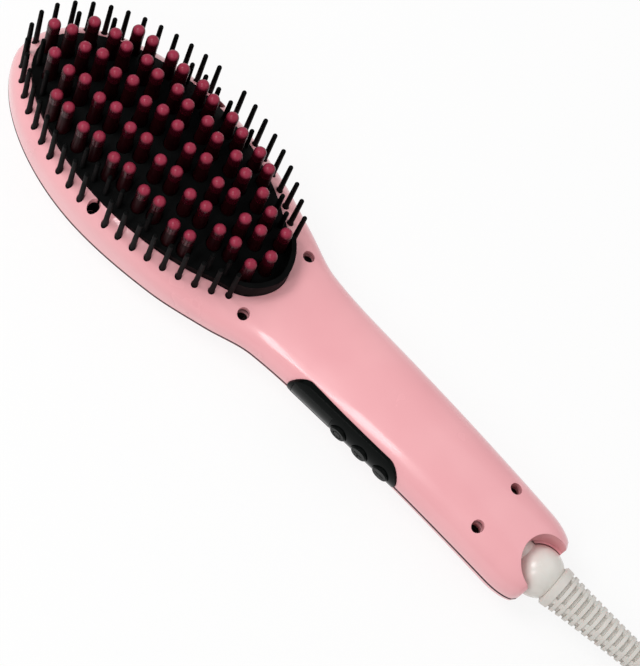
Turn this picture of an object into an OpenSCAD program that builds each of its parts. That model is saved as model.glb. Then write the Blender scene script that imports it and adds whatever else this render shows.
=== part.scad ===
// Heated hair straightening brush with a swivel cord.
// Millimetres. X runs from the head's tip to the handle's end, Y is across, Z is up.
// The brush lies on its back with the teeth up. The origin is under the middle of its length.
// Stations along the brush are written as s, measured from the head's tip.

/* [Housing] */
// Length of the housing, from the head's tip to the end of the handle
body_l = 262; // [250:2:290]
// Widest part of the head
head_w = 68.4; // [66:0.4:76]
// Distance from the head's tip to its widest part
head_mid = 66; // [60:1:72]
// Distance from the head's tip to the neck
neck_at = 138; // [132:1:150]
// Width of the neck
neck_w = 41.6; // [36:0.4:46]
// Width at the middle of the grip
grip_w = 37.2; // [34:0.4:42]
// Width near the end of the handle
end_w = 33; // [31:0.5:38]
// Height of the head's rim above the rest plane
head_z = 26.5; // [24:0.5:30]
// Height of the front face at the head's tip
tip_z = 20.5; // [18:0.5:23]
// Height of the front face at the neck
neck_z = 24; // [22:0.5:26]
// Height of the front face where the grip is highest
grip_z = 29; // [27:0.5:32]
// Height of the parting line in the head
parting_z = 9.5; // [8:0.5:11]
// Thickness of the housing walls
wall = 2.2; // [1.8:0.1:2.6]
// Length of the rounded end of the handle
end_round = 12; // [8:0.5:14]

/* [Bristle field] */
// Length of the ring of edge pins
ring_l = 124.4; // [116:1:128]
// Width of the rim beside the ring of edge pins
rim_w = 2.7; // [2.2:0.1:4]
// Distance of the ring's first pin from the head's tip
ring_at = 4.5; // [4:0.5:8]
// Distance between neighbouring edge pins
pin_pitch = 6.2; // [5.8:0.1:7.5]
// Diameter of a pin at its foot
pin_d = 2.1; // [1.8:0.1:2.4]
// Height of the edge pins above the rim
pin_h = 21; // [17:1:25]
// Distance from the ring of edge pins to the black comb base
base_inset = 3.4; // [2.6:0.1:3.8]
// Crown of the comb base above the rim
base_crown = 14; // [11:0.5:16]
// Height of the highest tooth tip above the rim
tip_crown = 31; // [27:1:35]
// Distance between the rows of teeth
row_gap = 10.3; // [9.6:0.1:10.8]
// Distance between teeth in one row
tooth_pitch = 7.45; // [7.1:0.05:7.7]
// Diameter of a tooth at its foot
tooth_d = 5.2; // [4.6:0.1:5.6]
// Diameter of a heat-proof tip
tip_d = 4.6; // [4.2:0.1:5]
// Length of a heat-proof tip
tip_l = 6; // [5:0.5:8]

/* [Control panel] */
// Length of the panel
panel_l = 51; // [50:1:58]
// Height of the panel
panel_h = 14.5; // [13:0.5:16]
// Diameter of the three buttons
button_d = 7; // [6:0.2:8]
// Travel of a button
button_travel = 0.6; // [0.3:0.1:0.8]
// Length of the display window
window_l = 18; // [15:0.5:19]
// Height of the display window
window_h = 8; // [6.5:0.5:9]

/* [Screws] */
// Diameter of the housing screws
screw_d = 2.6; // [2.2:0.1:2.9]
// Diameter of a housing screw's head
screw_head_d = 3.9; // [3.6:0.1:4]
// Diameter of the recesses over the housing screws
recess_d = 4.4; // [4.2:0.1:4.8]

/* [Swivel and cord] */
// Diameter of the swivel ball
ball_d = 18.6; // [17:0.2:19]
// Height of the ball's centre
swivel_z = 13.1; // [12.6:0.1:13.6]
// Diameter of the swivel's journal
journal_d = 10.8; // [9:0.2:12]
// Length of the strain relief
boot_l = 50; // [44:1:54]
// Diameter of the strain relief at the ball
boot_d = 16.4; // [13:0.2:17]
// Diameter of the cord
cord_d = 6.5; // [6:0.1:7]

/* [Hidden] */

// Named clearances
run_gap = 0.08;    // between a turning journal and its bore
fit_gap = 0.15;    // between pieces that are assembled by hand
seat_gap = 0.25;   // between stacked pieces that don't move
ball_gap = 0.3;    // between the ball and its mouth
front_gap = 0.15;  // from the parting line to the lip of each shell

ring_w = head_w - 2 * rim_w;
block_at = body_l - 40;              // start of the contact block
panel_at = (neck_at + block_at) / 2; // the panel lies midway between the neck and the block
ball_at = body_l - 1.5;
boot_yaw = 5;       // the boot points a little towards +Y
end_dip = 6;        // the swivel axis follows the dip of the handle's end
ball_flat = 0.36 * ball_d;
total_l = ball_at + ball_flat * cos(boot_yaw)
    + sqrt(ball_d * ball_d / 4 - ball_flat * ball_flat) * sin(boot_yaw);
mid = total_l / 2;
eps = 0.01;

pink = "#EFA9AF";
black = "#17171A";
coral = "#B8324C";
steel = "#B9BCC0";
brass = "#C9A552";
white = "#E4E0DA";

module place() translate([-mid, 0, 0]) children();

// Smooth curve through keys [station, value]
function seek(k, s, i = 0) = i >= len(k) - 2 || s < k[i + 1][0] ? i : seek(k, s, i + 1);
function rise(k, a, b) = (k[b][1] - k[a][1]) / (k[b][0] - k[a][0]);
function lean(k, i) = rise(k, max(i - 1, 0), min(i + 1, len(k) - 1));
function curve(k, s) =
    let (i = seek(k, s), h = k[i + 1][0] - k[i][0], t = (s - k[i][0]) / h)
    k[i][1] * (1 + 2 * t) * pow(1 - t, 2) + k[i + 1][1] * t * t * (3 - 2 * t)
    + h * (lean(k, i) * t * pow(1 - t, 2) - lean(k, i + 1) * t * t * (1 - t));

// Outline of the housing seen from the front, as half widths
neck_run = neck_at - head_mid;
function shoulder(f, g) = [head_mid + f * neck_run, (head_w - g * (head_w - neck_w)) / 2];
width_keys = [[head_mid - 0.44 * neck_run, shoulder(0.44, 0.2)[1]], shoulder(0, 0),
    shoulder(0.44, 0.2), shoulder(0.75, 0.6), [neck_at, neck_w / 2],
    [neck_at + 0.35 * (body_l - neck_at), grip_w / 2], [body_l, end_w / 2]];
function nose_w(s) = head_w / 2 * pow(max(0.004, 1 - pow(1 - s / head_mid, 2)), 0.55);
function end_fade(s) = let (t = max(0, (s - body_l + end_round) / end_round))
    0.76 + 0.24 * sqrt(max(0, 1 - t * t));
function half_w(s) = (s < head_mid ? nose_w(s) : curve(width_keys, s)) * end_fade(s);

// Front face, parting line and back, as heights above the rest plane
end_z = 2 * swivel_z - 0.2;
front_keys = [[0, tip_z], [20, 0.45 * tip_z + 0.55 * head_z], [57, head_z - 0.1], [90, head_z - 0.4],
    [neck_at - 18, neck_z - 0.2], [neck_at, neck_z + 0.3], [neck_at + 42, (neck_z + grip_z) / 2 + 1.4],
    [neck_at + 67, grip_z], [body_l - 27, grip_z - 0.8], [body_l, end_z]];
back_keys = [[0, 1.4], [24, 0.2], [46, -0.3], [70, 0.2], [100, 1.7], [neck_at, 4], [neck_at + 37, 4.5],
    [neck_at + 67, 3.8], [body_l - 27, 1.6], [body_l - 12, -0.3], [body_l, -0.5]];
parting_keys = [[0, parting_z - 0.6], [30, parting_z - 0.3], [66, parting_z], [neck_at, parting_z + 3.2],
    [neck_at + 42, parting_z + 5.5], [neck_at + 67, parting_z + 6.2], [body_l - 27, parting_z + 5.3],
    [body_l, swivel_z - 0.1]];
function front_z(s) = curve(front_keys, s);
function back_z(s) = curve(back_keys, s);
function part_z(s) = curve(parting_keys, s);

// The ring of edge pins and the outlines inside it are superellipses
ring_mid = ring_at + ring_l / 2;
ring_power = 1.87;
function ring_w_at(s) = let (t = abs(s - ring_mid) * 2 / ring_l)
    t >= 1 ? 0 : ring_w / 2 * pow(1 - pow(t, ring_power), 1 / ring_power);
function signed_pow(v, p) = sign(v) * pow(abs(v), p);
function ring_point(a, inset) = [ring_mid - (ring_l / 2 - inset) * signed_pow(cos(a), 2 / ring_power),
    (ring_w / 2 - inset) * signed_pow(sin(a), 2 / ring_power)];
function ring_outline(inset) = [for (a = [0:6:354]) ring_point(a, inset)];
function blend(f) = let (g = min(1, max(0, f))) g * g * (3 - 2 * g);
function base_outline(more) = [for (a = [0:5:355]) let (b = a > 180 ? 360 - a : a)
    ring_point(a, more + base_inset + (lip_inset - base_inset) * blend((b - 138) / 20))];
lip_inset = 0.4;

// Half sections of the housing, front or back, with an inset for the inner skin
front_power_keys = [[0, 3.4], [40, 4], [100, 4], [neck_at + 10, 2.7], [body_l, 2.6]];
function front_power(s) = curve(front_power_keys, s);
back_power = 2.1;
nose_l = 13;
function nose_fade(s) = s >= nose_l ? 1 : sqrt(max(0.01, 1 - pow(1 - s / nose_l, 2)));
function crown_h(s) = let (p = front_power(s), w = half_w(s), y = min(ring_w_at(s), 0.93 * w))
    (front_z(s) - part_z(s)) / pow(1 - pow(y / w, p), 1 / p);
function front_h(s) = crown_h(s) * nose_fade(s) * end_fade(s);
function back_h(s) = (part_z(s) - front_gap - back_z(s)) * nose_fade(s) * end_fade(s);
function shrink(v, inset, least) = v * (1 - inset / max(v, least));
function inset_s(s, inset) = inset + s * (body_l - 2 * inset) / body_l;

section_steps = 17;
station_steps = 34;
stations = [for (i = [0:station_steps]) let (t = i / station_steps)
    body_l * (0.7 * t + 0.15 * (1 - cos(180 * t)))];
function section(s, side, inset) =
    let (w = shrink(half_w(s), inset, 12),
        h = shrink(side > 0 ? front_h(s) : back_h(s), inset, 9),
        p = side > 0 ? front_power(s) : back_power)
    [for (k = [0:section_steps]) let (a = 180 * k / section_steps)
        [inset_s(s, inset), w * signed_pow(cos(a), 2 / p), part_z(s) + side * h * pow(sin(a), 2 / p)]];

// One half of the housing as a closed skin of even thickness
module half_shell(side, gap) {
    n = section_steps + 1;
    m = len(stations);
    outer = [for (s = stations) each section(s, side, 0)];
    inner = [for (s = stations) each section(s, side, wall)];
    base = len(outer);
    function quad(a, b, c, d) = [[a, b, c], [a, c, d]];
    skins = [for (i = [0:m - 2], k = [0:n - 2]) let (a = i * n + k)
        each concat(quad(a, a + 1, a + n + 1, a + n),
            quad(base + a, base + a + n, base + a + n + 1, base + a + 1))];
    lips = [for (i = [0:m - 2]) let (a = i * n, b = i * n + n - 1)
        each concat(quad(a, a + n, base + a + n, base + a),
            quad(b, base + b, base + b + n, b + n))];
    last = (m - 1) * n;
    caps = concat(
        [for (k = [1:n - 2]) [0, k + 1, k]],
        [for (k = [1:n - 2]) [base, base + k, base + k + 1]],
        quad(0, base, base + n - 1, n - 1),
        [for (k = [1:n - 2]) [last, last + k, last + k + 1]],
        [for (k = [1:n - 2]) [base + last, base + last + k + 1, base + last + k]],
        quad(last, last + n - 1, base + last + n - 1, base + last));
    faces = concat(skins, lips, caps);
    translate([0, 0, side * gap])
        polyhedron(concat(outer, inner), side > 0 ? [for (f = faces) [f[0], f[2], f[1]]] : faces);
}

// The end of one half as a closed solid, from station start on
module half_end(side, gap, inset, start) {
    n = section_steps + 1;
    places = [for (s = stations) if (s >= start) s];
    m = len(places);
    function quad(a, b, c, d) = [[a, b, c], [a, c, d]];
    last = (m - 1) * n;
    faces = concat(
        [for (i = [0:m - 2], k = [0:n - 2]) let (a = i * n + k) each quad(a, a + 1, a + n + 1, a + n)],
        [for (i = [0:m - 2]) let (a = i * n, b = i * n + n - 1) each quad(a, a + n, b + n, b)],
        [for (k = [1:n - 2]) [0, k + 1, k]],
        [for (k = [1:n - 2]) [last, last + k, last + k + 1]]);
    translate([0, 0, side * gap]) polyhedron([for (s = places) each section(s, side, inset)],
        side > 0 ? [for (f = faces) [f[0], f[2], f[1]]] : faces);
}

// Screw places [s, y, lift]: two in the head, two at the neck, two near the end of the handle
screw_spots = [[ring_mid - 1, ring_w / 2 - 1.1, 3], [neck_at - 11, 16.2, 0], [body_l - 27, 9.9, 0]];
screw_points = [for (p = screw_spots, y = [1, -1]) [p[0], y * p[1], p[2]]];
screw_seat = 4;      // height of a screw's seat above the foot of its boss
screw_boss_d = recess_d + 1.6;
screw_l = 9;
screw_head_h = 1.8;
module each_screw() {
    for (p = screw_points) translate([p[0], p[1], part_z(p[0]) + p[2]]) children();
}
function skin_z(s, y) = let (p = front_power(s))
    part_z(s) + front_h(s) * pow(1 - pow(y / half_w(s), p), 1 / p);
// Front bosses: short ones under the rim, long ones up to the skin
module front_bosses() for (p = screw_points) {
    y = abs(p[1]);
    foot = part_z(p[0]) + p[2] + front_gap;
    top = skin_z(p[0], y) - 1;
    lean = atan((skin_z(p[0], y + 2) - skin_z(p[0], y - 2)) / 4);
    difference() {
        translate([p[0], p[1], foot])
            cylinder(d = screw_boss_d, h = p[2] > 0 ? screw_seat + 1.2 : top + 3 - foot, $fn = 48);
        if (p[2] == 0) translate([p[0], p[1], top]) rotate([sign(p[1]) * lean, 0, 0])
            translate([-6, -8, 0]) cube([12, 16, 30]);
    }
}
// Bosses stay inside the skin: cut by a wall beside the head and a slope under it
module inside_skin(side) difference() {
    children();
    for (y = [0, 1]) mirror([0, y, 0]) {
        translate([ring_mid - 10, head_w / 2 - (side < 0 ? wall + 0.3 : 1.2), 0]) cube([20, 20, 60]);
        if (side < 0) translate([ring_mid - 10, head_w / 2 - 1.2, 7.3]) rotate([30, 0, 0])
            translate([0, -30, -20]) cube([20, 50, 20]);
    }
}

// Places of the edge pins: equal steps along the ring, none at the neck end or over a screw
ring_path = [for (a = [0:1:180]) ring_point(a, 0)];
function path_sums(p, i = 0, sum = 0) = i >= len(p) ? [] :
    let (step = i == 0 ? 0 : norm(p[i] - p[i - 1]))
    concat([sum + step], path_sums(p, i + 1, sum + step));
ring_sums = path_sums(ring_path);
function at_length(p, sums, d) = let (i = [for (k = [0:len(sums) - 2]) if (sums[k + 1] > d) k][0],
    f = (d - sums[i]) / (sums[i + 1] - sums[i])) p[i] + f * (p[i + 1] - p[i]);
pins_a_side = 21;
one_side = [for (k = [1:pins_a_side]) if (k * pin_pitch < ring_sums[len(ring_sums) - 1] - 4)
    at_length(ring_path, ring_sums, k * pin_pitch)];
function near_screw(p) = min([for (q = screw_points) norm(p - [q[0], q[1]])]) < recess_d / 2 + pin_d / 2 + 0.4;
edge_pins = concat([ring_path[0]],
    [for (p = one_side) if (!near_screw(p)) p],
    [for (p = one_side) if (!near_screw([p[0], -p[1]])) [p[0], -p[1]]]);

// The pads of the head follow long arcs: z of an arc whose top is at station c
arc_mid = 72;
arc_r = 420;
function arc_z(s) = head_z - pow(s - arc_mid, 2) / (2 * arc_r);
module arc_slab(low, high) {
    translate([arc_mid, 0, head_z - arc_r]) rotate([90, 0, 0]) difference() {
        cylinder(r = arc_r + high, h = 120, center = true, $fn = 360);
        cylinder(r = arc_r + low, h = 121, center = true, $fn = 360);
    }
}
module egg(inset, low, high) {
    translate([0, 0, low]) linear_extrude(high - low) polygon(ring_outline(inset));
}
module base_egg(more, low, high) {
    translate([0, 0, low]) linear_extrude(high - low) polygon(base_outline(more));
}

// The comb base and the heater plate are domes: part of a ring surface lying across Y
dome_mid = 68;
dome_long_r = 120;
dome_cross_r = 45;
dome_top = head_z + base_crown;
module dome(drop) {
    r = dome_cross_r - drop;
    far = dome_long_r - dome_cross_r;
    translate([dome_mid, 0, dome_top - dome_long_r]) rotate([90, 0, 0]) {
        rotate_extrude($fn = 240) intersection() {
            translate([far, 0]) circle(r, $fn = 180);
            translate([far, -r]) square([r, 2 * r]);
        }
        cylinder(r = far, h = 2 * r, center = true, $fn = 240);
    }
}
function dome_z(s, y, drop = 0) = let (r = dome_cross_r - drop)
    dome_top - dome_long_r + sqrt(pow(dome_long_r - dome_cross_r + sqrt(r * r - y * y), 2)
        - pow(s - dome_mid, 2));

// Teeth stand in five rows, each a zigzag; the middle row is mirrored about its middle
tip_mid = 61;
tip_long_r = 114;
tip_cross_r = 34;
function tip_z_at(p) = head_z + tip_crown - p[1] * p[1] / (2 * tip_cross_r)
    - pow(p[0] - tip_mid, 2) / (2 * tip_long_r);
zig = 1.1;
middle_count = 16;
middle_row = [for (k = [0:middle_count - 1]) let (odd = k < middle_count / 2 ? k % 2 : (k + 1) % 2)
    [ring_at + 7.2 + k * 0.976 * tooth_pitch - 1.2 * odd, (2 * odd - 1) * zig]];
function bow(s) = 1 - 0.25 * pow((s - 60) / 60, 4);
second_row = [for (k = [0:13]) let (s = ring_at + 16.9 + k * tooth_pitch - (k % 2 == 0 ? 1 : 0))
    [s, (row_gap + (k % 2 == 0 ? -0.6 : 0.8)) * bow(s)]];
third_row = [for (k = [0:9]) let (s = ring_at + 27.7 + k * tooth_pitch - (k % 2 == 1 ? 1.2 : 0))
    [s, min((2 * row_gap + (k % 2 == 0 ? 0.4 : -0.8)) * bow(s), ring_w_at(s) - 6.2)]];
function mirrored(row) = [for (p = row) [p[0], -p[1]]];
teeth = concat(middle_row, second_row, mirrored(second_row), third_row, mirrored(third_row));

// Plain pins of the comb base stand inside the ring, clear of every tooth
inner_inset = 5.8;
inner_path = [for (a = [0:1:180]) ring_point(a, inner_inset)];
inner_sums = path_sums(inner_path);
function clear_of_teeth(p) = min([for (q = teeth) norm(p - q)]) > tooth_d / 2 + pin_d / 2 + 0.9;
inner_side = [for (k = [0:19]) if ((k + 0.5) * pin_pitch < inner_sums[len(inner_sums) - 1] - 3)
    at_length(inner_path, inner_sums, (k + 0.5) * pin_pitch)];
inner_pins = [for (row = [inner_side, mirrored(inner_side)]) each
    [for (p = row) if (clear_of_teeth(p)) p]];

pin_tip_d = 1.7;
module pin(h) {
    cylinder(d1 = pin_d, d2 = pin_tip_d, h = h - pin_tip_d / 2, $fn = 24);
    translate([0, 0, h - pin_tip_d / 2]) sphere(d = pin_tip_d, $fn = 24);
}

// Control panel frame: u along the brush, n outward, z up, on the -Y side of the grip
panel_z = part_z(panel_at) + 1.5;
panel_face = half_w(panel_at) + 0.5;
panel_turn = atan((half_w(panel_at - panel_l / 2) - half_w(panel_at + panel_l / 2)) / panel_l);
panel_tilt = atan((part_z(panel_at + 20) - part_z(panel_at - 20)) / 40);
module on_panel() {
    mirror([0, 1, 0]) translate([panel_at, panel_face, panel_z]) rotate([0, 0, -panel_turn])
        rotate([0, -panel_tilt, 0]) children();
}
module slot_shape(l, h, depth, back) {
    translate([0, -back, 0]) rotate([90, 0, 0]) linear_extrude(depth) {
        square([l - h, h], center = true);
        for (x = [-1, 1]) translate([x * (l - h) / 2, 0]) circle(d = h, $fn = 72);
    }
}
panel_bow = 13;      // radius of the panel's face across its height
panel_depth = 5;
module panel_face_cut(drop) {
    translate([0, -panel_bow - drop, 0]) rotate([0, 90, 0])
        cylinder(r = panel_bow, h = panel_l + 20, center = true, $fn = 120);
}
button_pitch = 10;
button_spots = [-1, 9, 19];
window_mid = -14.5;
tab_out = 1.2;
tab_h = 4;
tab_from = 3.4;
board_back = 9;      // from the panel's face to the front of the control board
board_t = 1.6;
board_l = 58;
board_h = 12;
board_screw_at = panel_l / 2;

// Front shell: rim, recesses for the screws, holes for the edge pins, half the panel's opening
module panel_opening() {
    on_panel() translate([0, 2, 0])
        slot_shape(panel_l + 2 * fit_gap, panel_h + 2 * fit_gap, panel_depth + 4, 0);
}
boss_r = ball_d / 2 + 2.7;
bush_d = 18.6;
bush_from = body_l - 21;
bush_l = 7.5;
module in_swivel() {
    translate([ball_at, 0, swivel_z]) rotate([0, end_dip, 0]) translate([-ball_at, 0, -swivel_z]) children();
}
module end_mouth() {
    translate([ball_at, 0, swivel_z]) sphere(r = ball_d / 2 + ball_gap, $fn = 96);
}
module along_axis(s, h, r, fn = 72) {
    translate([s, 0, swivel_z]) rotate([0, 90, 0]) cylinder(r = r, h = h, $fn = fn);
}
module half_space(side) {
    translate([bush_from - 1, -30, swivel_z + (side > 0 ? front_gap : -60 - front_gap)]) cube([60, 60, 60]);
}
// What holds the swivel in each shell: half a ring round the bush, and a solid end with the ball's seat
end_from = body_l - 14.5;
end_gap = front_gap + 0.3;
module half_holder(side) {
    intersection() {
        in_swivel() intersection() {
            along_axis(bush_from + 0.5, end_from - bush_from, boss_r);
            half_space(side);
        }
        translate([bush_from - 5, -30, 0]) cube([end_from - bush_from + 5.5, 60, 60]);
    }
    intersection() {
        half_end(side, end_gap, wall / 2, end_from - 8);
        translate([end_from, -30, 0]) cube([30, 60, 60]);
    }
}
module holder_bores() {
    in_swivel() {
        along_axis(bush_from - 1, bush_l + 1.1, bush_d / 2 + fit_gap / 2);
        along_axis(bush_from, ball_at - bush_from, journal_d / 2 + ball_gap);
    }
    end_mouth();
}
// The front shell is cut back round the ball, with an upright wall
cup_r = ball_d / 2 + 0.6;
module cup_window() translate([ball_at, 0, swivel_z + 3]) linear_extrude(30) {
    circle(cup_r, $fn = 96);
    translate([0, -cup_r]) square([20, 2 * cup_r]);
}
comb_drop = 4.6;
comb_t = 2;
comb_out = 0.2;
foot_t = 1.6;
foot_out = 1.4;
base_low = comb_drop + comb_t + seat_gap;
module comb_seat() {
    intersection() {
        arc_slab(-comb_drop - comb_t - 0.1, -comb_drop + 0.1);
        egg(comb_out - fit_gap, 0, 40);
    }
    intersection() {
        arc_slab(-base_low - foot_t - 0.1, -base_low + 0.1);
        egg(foot_out - fit_gap, 0, 40);
    }
}
module front_shell() color(pink) place() difference() {
    union() {
        half_shell(1, front_gap);
        inside_skin(1) front_bosses();
        half_holder(1);
    }
    base_egg(-fit_gap, 0, 60);
    for (p = edge_pins) translate([p[0], p[1], 0]) cylinder(d = pin_d + 0.5, h = 60, $fn = 24);
    each_screw() {
        translate([0, 0, screw_seat]) cylinder(d = recess_d, h = 30, $fn = 48);
        translate([0, 0, -1]) cylinder(d = screw_d + 0.4, h = 20, $fn = 32);
    }
    comb_seat();
    panel_opening();
    holder_bores();
    cup_window();
}
module rear_shell() color(pink) place() difference() {
    union() {
        half_shell(-1, front_gap);
        inside_skin(-1) for (p = screw_points) translate([p[0], p[1], back_z(p[0]) + wall / 2])
            cylinder(d = screw_boss_d, h = part_z(p[0]) + p[2] - back_z(p[0]) - wall / 2 - front_gap, $fn = 48);
        half_holder(-1);
        shield_posts();
        block_post();
    }
    each_screw() translate([0, 0, screw_seat - screw_l - 0.4])
        cylinder(d = screw_d + 2 * run_gap, h = 30, $fn = 32);
    panel_opening();
    holder_bores();
    translate([-5, -50, -20]) cube([body_l + 20, 100, 20]);
}
module housing_screws() color(steel) place() each_screw() {
    translate([0, 0, screw_seat + fit_gap]) difference() {
        cylinder(d = screw_head_d, h = screw_head_h, $fn = 48);
        for (a = [0, 90]) rotate([0, 0, a]) translate([-1.2, -0.25, screw_head_h - 0.9]) cube([2.4, 0.5, 1]);
    }
    translate([0, 0, screw_seat + fit_gap - screw_l]) cylinder(d = screw_d, h = screw_l, $fn = 32);
}

// Edge comb: a curved ring under the rim, its pins pass up through the shell
module edge_comb() color(black) place() {
    difference() {
        intersection() {
            arc_slab(-comb_drop - comb_t, -comb_drop);
            egg(comb_out, 0, 40);
        }
        base_egg(-0.1, -1, 50);
        each_screw() cylinder(d = recess_d + 0.4, h = 40, $fn = 48);
    }
    for (p = edge_pins) translate([p[0], p[1], arc_z(p[0]) - comb_drop - comb_t / 2])
        pin(front_z(p[0]) - arc_z(p[0]) + comb_drop + comb_t / 2 + pin_h);
}

// Comb base: a domed cover with a foot under the edge comb, a hole for each tooth and plain pins
base_t = 2;
lip_t = 2;
lip_h = 8.5;
lip_from = ring_at + ring_l - 10;
module comb_base() color(black) place() {
    difference() {
        union() {
            intersection() {
                base_egg(0, head_z - 16, 60);
                dome(0);
            }
            intersection() {
                difference() {
                    base_egg(0, head_z - 16, 60);
                    base_egg(lip_t, 0, 60);
                }
                arc_slab(-base_low, lip_h);
                translate([lip_from, -30, 0]) cube([40, 60, 60]);
            }
            intersection() {
                arc_slab(-base_low - foot_t, -base_low);
                egg(foot_out, 0, 40);
            }
        }
        intersection() {
            base_egg(base_t, head_z - 20, 60);
            dome(base_t);
        }
        difference() {
            egg(-1, 0, head_z);
            arc_slab(-base_low - foot_t, 30);
        }
        for (p = teeth) translate([p[0], p[1], 0]) cylinder(d = tooth_d + 0.4, h = 60, $fn = 32);
        each_screw() cylinder(d = recess_d + 0.4, h = 40, $fn = 48);
    }
    for (p = inner_pins) translate([p[0], p[1], dome_z(p[0], p[1]) - 0.7])
        pin(tip_z_at(p) - 1 - dome_z(p[0], p[1]) + 0.7);
}

// Heater plate: a domed casting with the teeth, a flat bed for the element and two screw holes
plate_inset = base_inset + base_t + 0.8;
plate_drop = base_t + 0.4;
plate_t = 2.4;
bed_l = 66;
bed_w = 24;
bed_z = head_z - 1;
clamp_reach = 36;
function foot_z(p) = dome_z(p[0], p[1], plate_drop) - plate_t / 2;
module heater_plate() color("#2A2A2E") place() {
    difference() {
        union() {
            difference() {
                intersection() {
                    egg(plate_inset, bed_z - 4.5, 60);
                    dome(plate_drop);
                }
                intersection() {
                    egg(plate_inset + plate_t, bed_z - 5, 60);
                    dome(plate_drop + plate_t);
                }
            }
            intersection() {
                translate([ring_mid - bed_l / 2, -bed_w / 2, bed_z]) cube([bed_l, bed_w, 20]);
                dome(plate_drop + plate_t / 2);
            }
            for (x = [-1, 1]) intersection() {
                translate([ring_mid + x * clamp_reach, 0, bed_z]) cylinder(d = 7, h = 20, $fn = 48);
                dome(plate_drop + plate_t / 2);
            }
        }
        for (x = [-1, 1]) translate([ring_mid + x * clamp_reach, 0, bed_z - 1])
            cylinder(d = screw_d + 2 * run_gap, h = 7, $fn = 32);
    }
    for (p = teeth) {
        translate([p[0], p[1], foot_z(p)])
            cylinder(d1 = tooth_d, d2 = tip_d - 0.2, h = tip_z_at(p) - tip_l - foot_z(p), $fn = 32);
        translate([p[0], p[1], tip_z_at(p) - tip_l - eps]) cylinder(d = 2.4, h = 3, $fn = 24);
    }
}
module tooth_tips() color(coral) place() for (p = teeth) translate([p[0], p[1], tip_z_at(p) - tip_l])
    difference() {
        union() {
            cylinder(d = tip_d, h = tip_l - tip_d / 2, $fn = 32);
            translate([0, 0, tip_l - tip_d / 2]) sphere(d = tip_d, $fn = 32);
        }
        translate([0, 0, -1]) cylinder(d = 2.4 + 2 * run_gap, h = 4.2, $fn = 24);
    }

// Heating parts stacked under the bed, from the plate down
element_t = 3;
element_w = 18;
element_l = 60;
sheet_t = 0.5;
clamp_t = 1;
element_z = bed_z - 0.05 - element_t;
module slab(s, l, w, low, t) {
    translate([s - l / 2, -w / 2, low]) cube([l, w, t]);
}
module heating_element() color("#C7BFB2") place() slab(ring_mid, element_l, element_w, element_z, element_t);
sheet_z = element_z - 0.05 - sheet_t;
module insulation_sheet() color("#C98A3C") place()
    slab(ring_mid, element_l + 4, element_w + 3, sheet_z, sheet_t);
clamp_z = sheet_z - 0.05 - clamp_t;
module heater_clamp() color(steel) place() difference() {
    union() {
        slab(ring_mid, 2 * clamp_reach + 9, 9, clamp_z, clamp_t);
        for (x = [-1, 1]) translate([ring_mid + x * clamp_reach, 0, clamp_z])
            cylinder(d = 6, h = bed_z - 0.05 - clamp_z, $fn = 48);
    }
    for (x = [-1, 1]) translate([ring_mid + x * clamp_reach, 0, clamp_z - 1])
        cylinder(d = screw_d + 2 * run_gap, h = 12, $fn = 32);
}
module clamp_screws() color(steel) place() for (x = [-1, 1])
    translate([ring_mid + x * clamp_reach, 0, clamp_z - 0.05]) {
        translate([0, 0, -1.6]) cylinder(d = 4.6, h = 1.6, $fn = 48);
        translate([0, 0, -eps]) cylinder(d = screw_d, h = 8, $fn = 32);
    }
fuse_at = ring_mid + 8;
module thermal_fuse() color("#D8D8D4") place() {
    translate([fuse_at - 5, 6.9, sheet_z - 2.1]) rotate([0, 90, 0]) cylinder(d = 4, h = 10, $fn = 36);
    translate([fuse_at - 12, 6.9, sheet_z - 2.1]) rotate([0, 90, 0]) cylinder(d = 0.8, h = 24, $fn = 16);
}
bead_r = 1.3;
module thermistor() color("#26262A") place() translate([fuse_at - 24, -6.9, sheet_z - 0.05 - bead_r])
    rotate([0, 90, 0]) rotate_extrude($fn = 32) polygon(concat([[0, -bead_r]],
        [for (a = [-75:15:60]) bead_r * [cos(a), sin(a)]], [[0.5, 1.25], [0.5, 14], [0, 14]]));

// Heat shield: a tray on four posts of the rear shell
shield_z = 12;
shield_t = 1.2;
shield_l = 72;
shield_w = 44;
shield_posts_at = [for (x = [-1, 1], y = [-1, 1]) [ring_mid + x * (shield_l / 2 - 6), y * (shield_w / 2 - 5)]];
post_d = 6;
module shield_posts() for (p = shield_posts_at) translate([p[0], p[1], back_z(p[0]) + wall / 2])
    difference() {
        cylinder(d = post_d, h = shield_z - 0.05 - back_z(p[0]) - wall / 2, $fn = 36);
        translate([0, 0, 2.5]) cylinder(d = 2 + 2 * run_gap, h = 20, $fn = 24);
    }
module heat_shield() color("#3A3A3E") place() difference() {
    union() {
        slab(ring_mid, shield_l, shield_w, shield_z, shield_t);
        for (y = [-1, 1]) translate([ring_mid - shield_l / 2, y * (shield_w / 2 - 0.6) - 0.6, shield_z])
            cube([shield_l, 1.2, 2.6]);
    }
    for (p = shield_posts_at) translate([p[0], p[1], shield_z - 1]) cylinder(d = 2.4, h = 4, $fn = 24);
}
module shield_screws() color(steel) place() for (p = shield_posts_at)
    translate([p[0], p[1], shield_z + shield_t + 0.05]) {
        cylinder(d = 3.8, h = 1.4, $fn = 36);
        translate([0, 0, -6]) cylinder(d = 2, h = 6 + eps, $fn = 24);
    }

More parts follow.
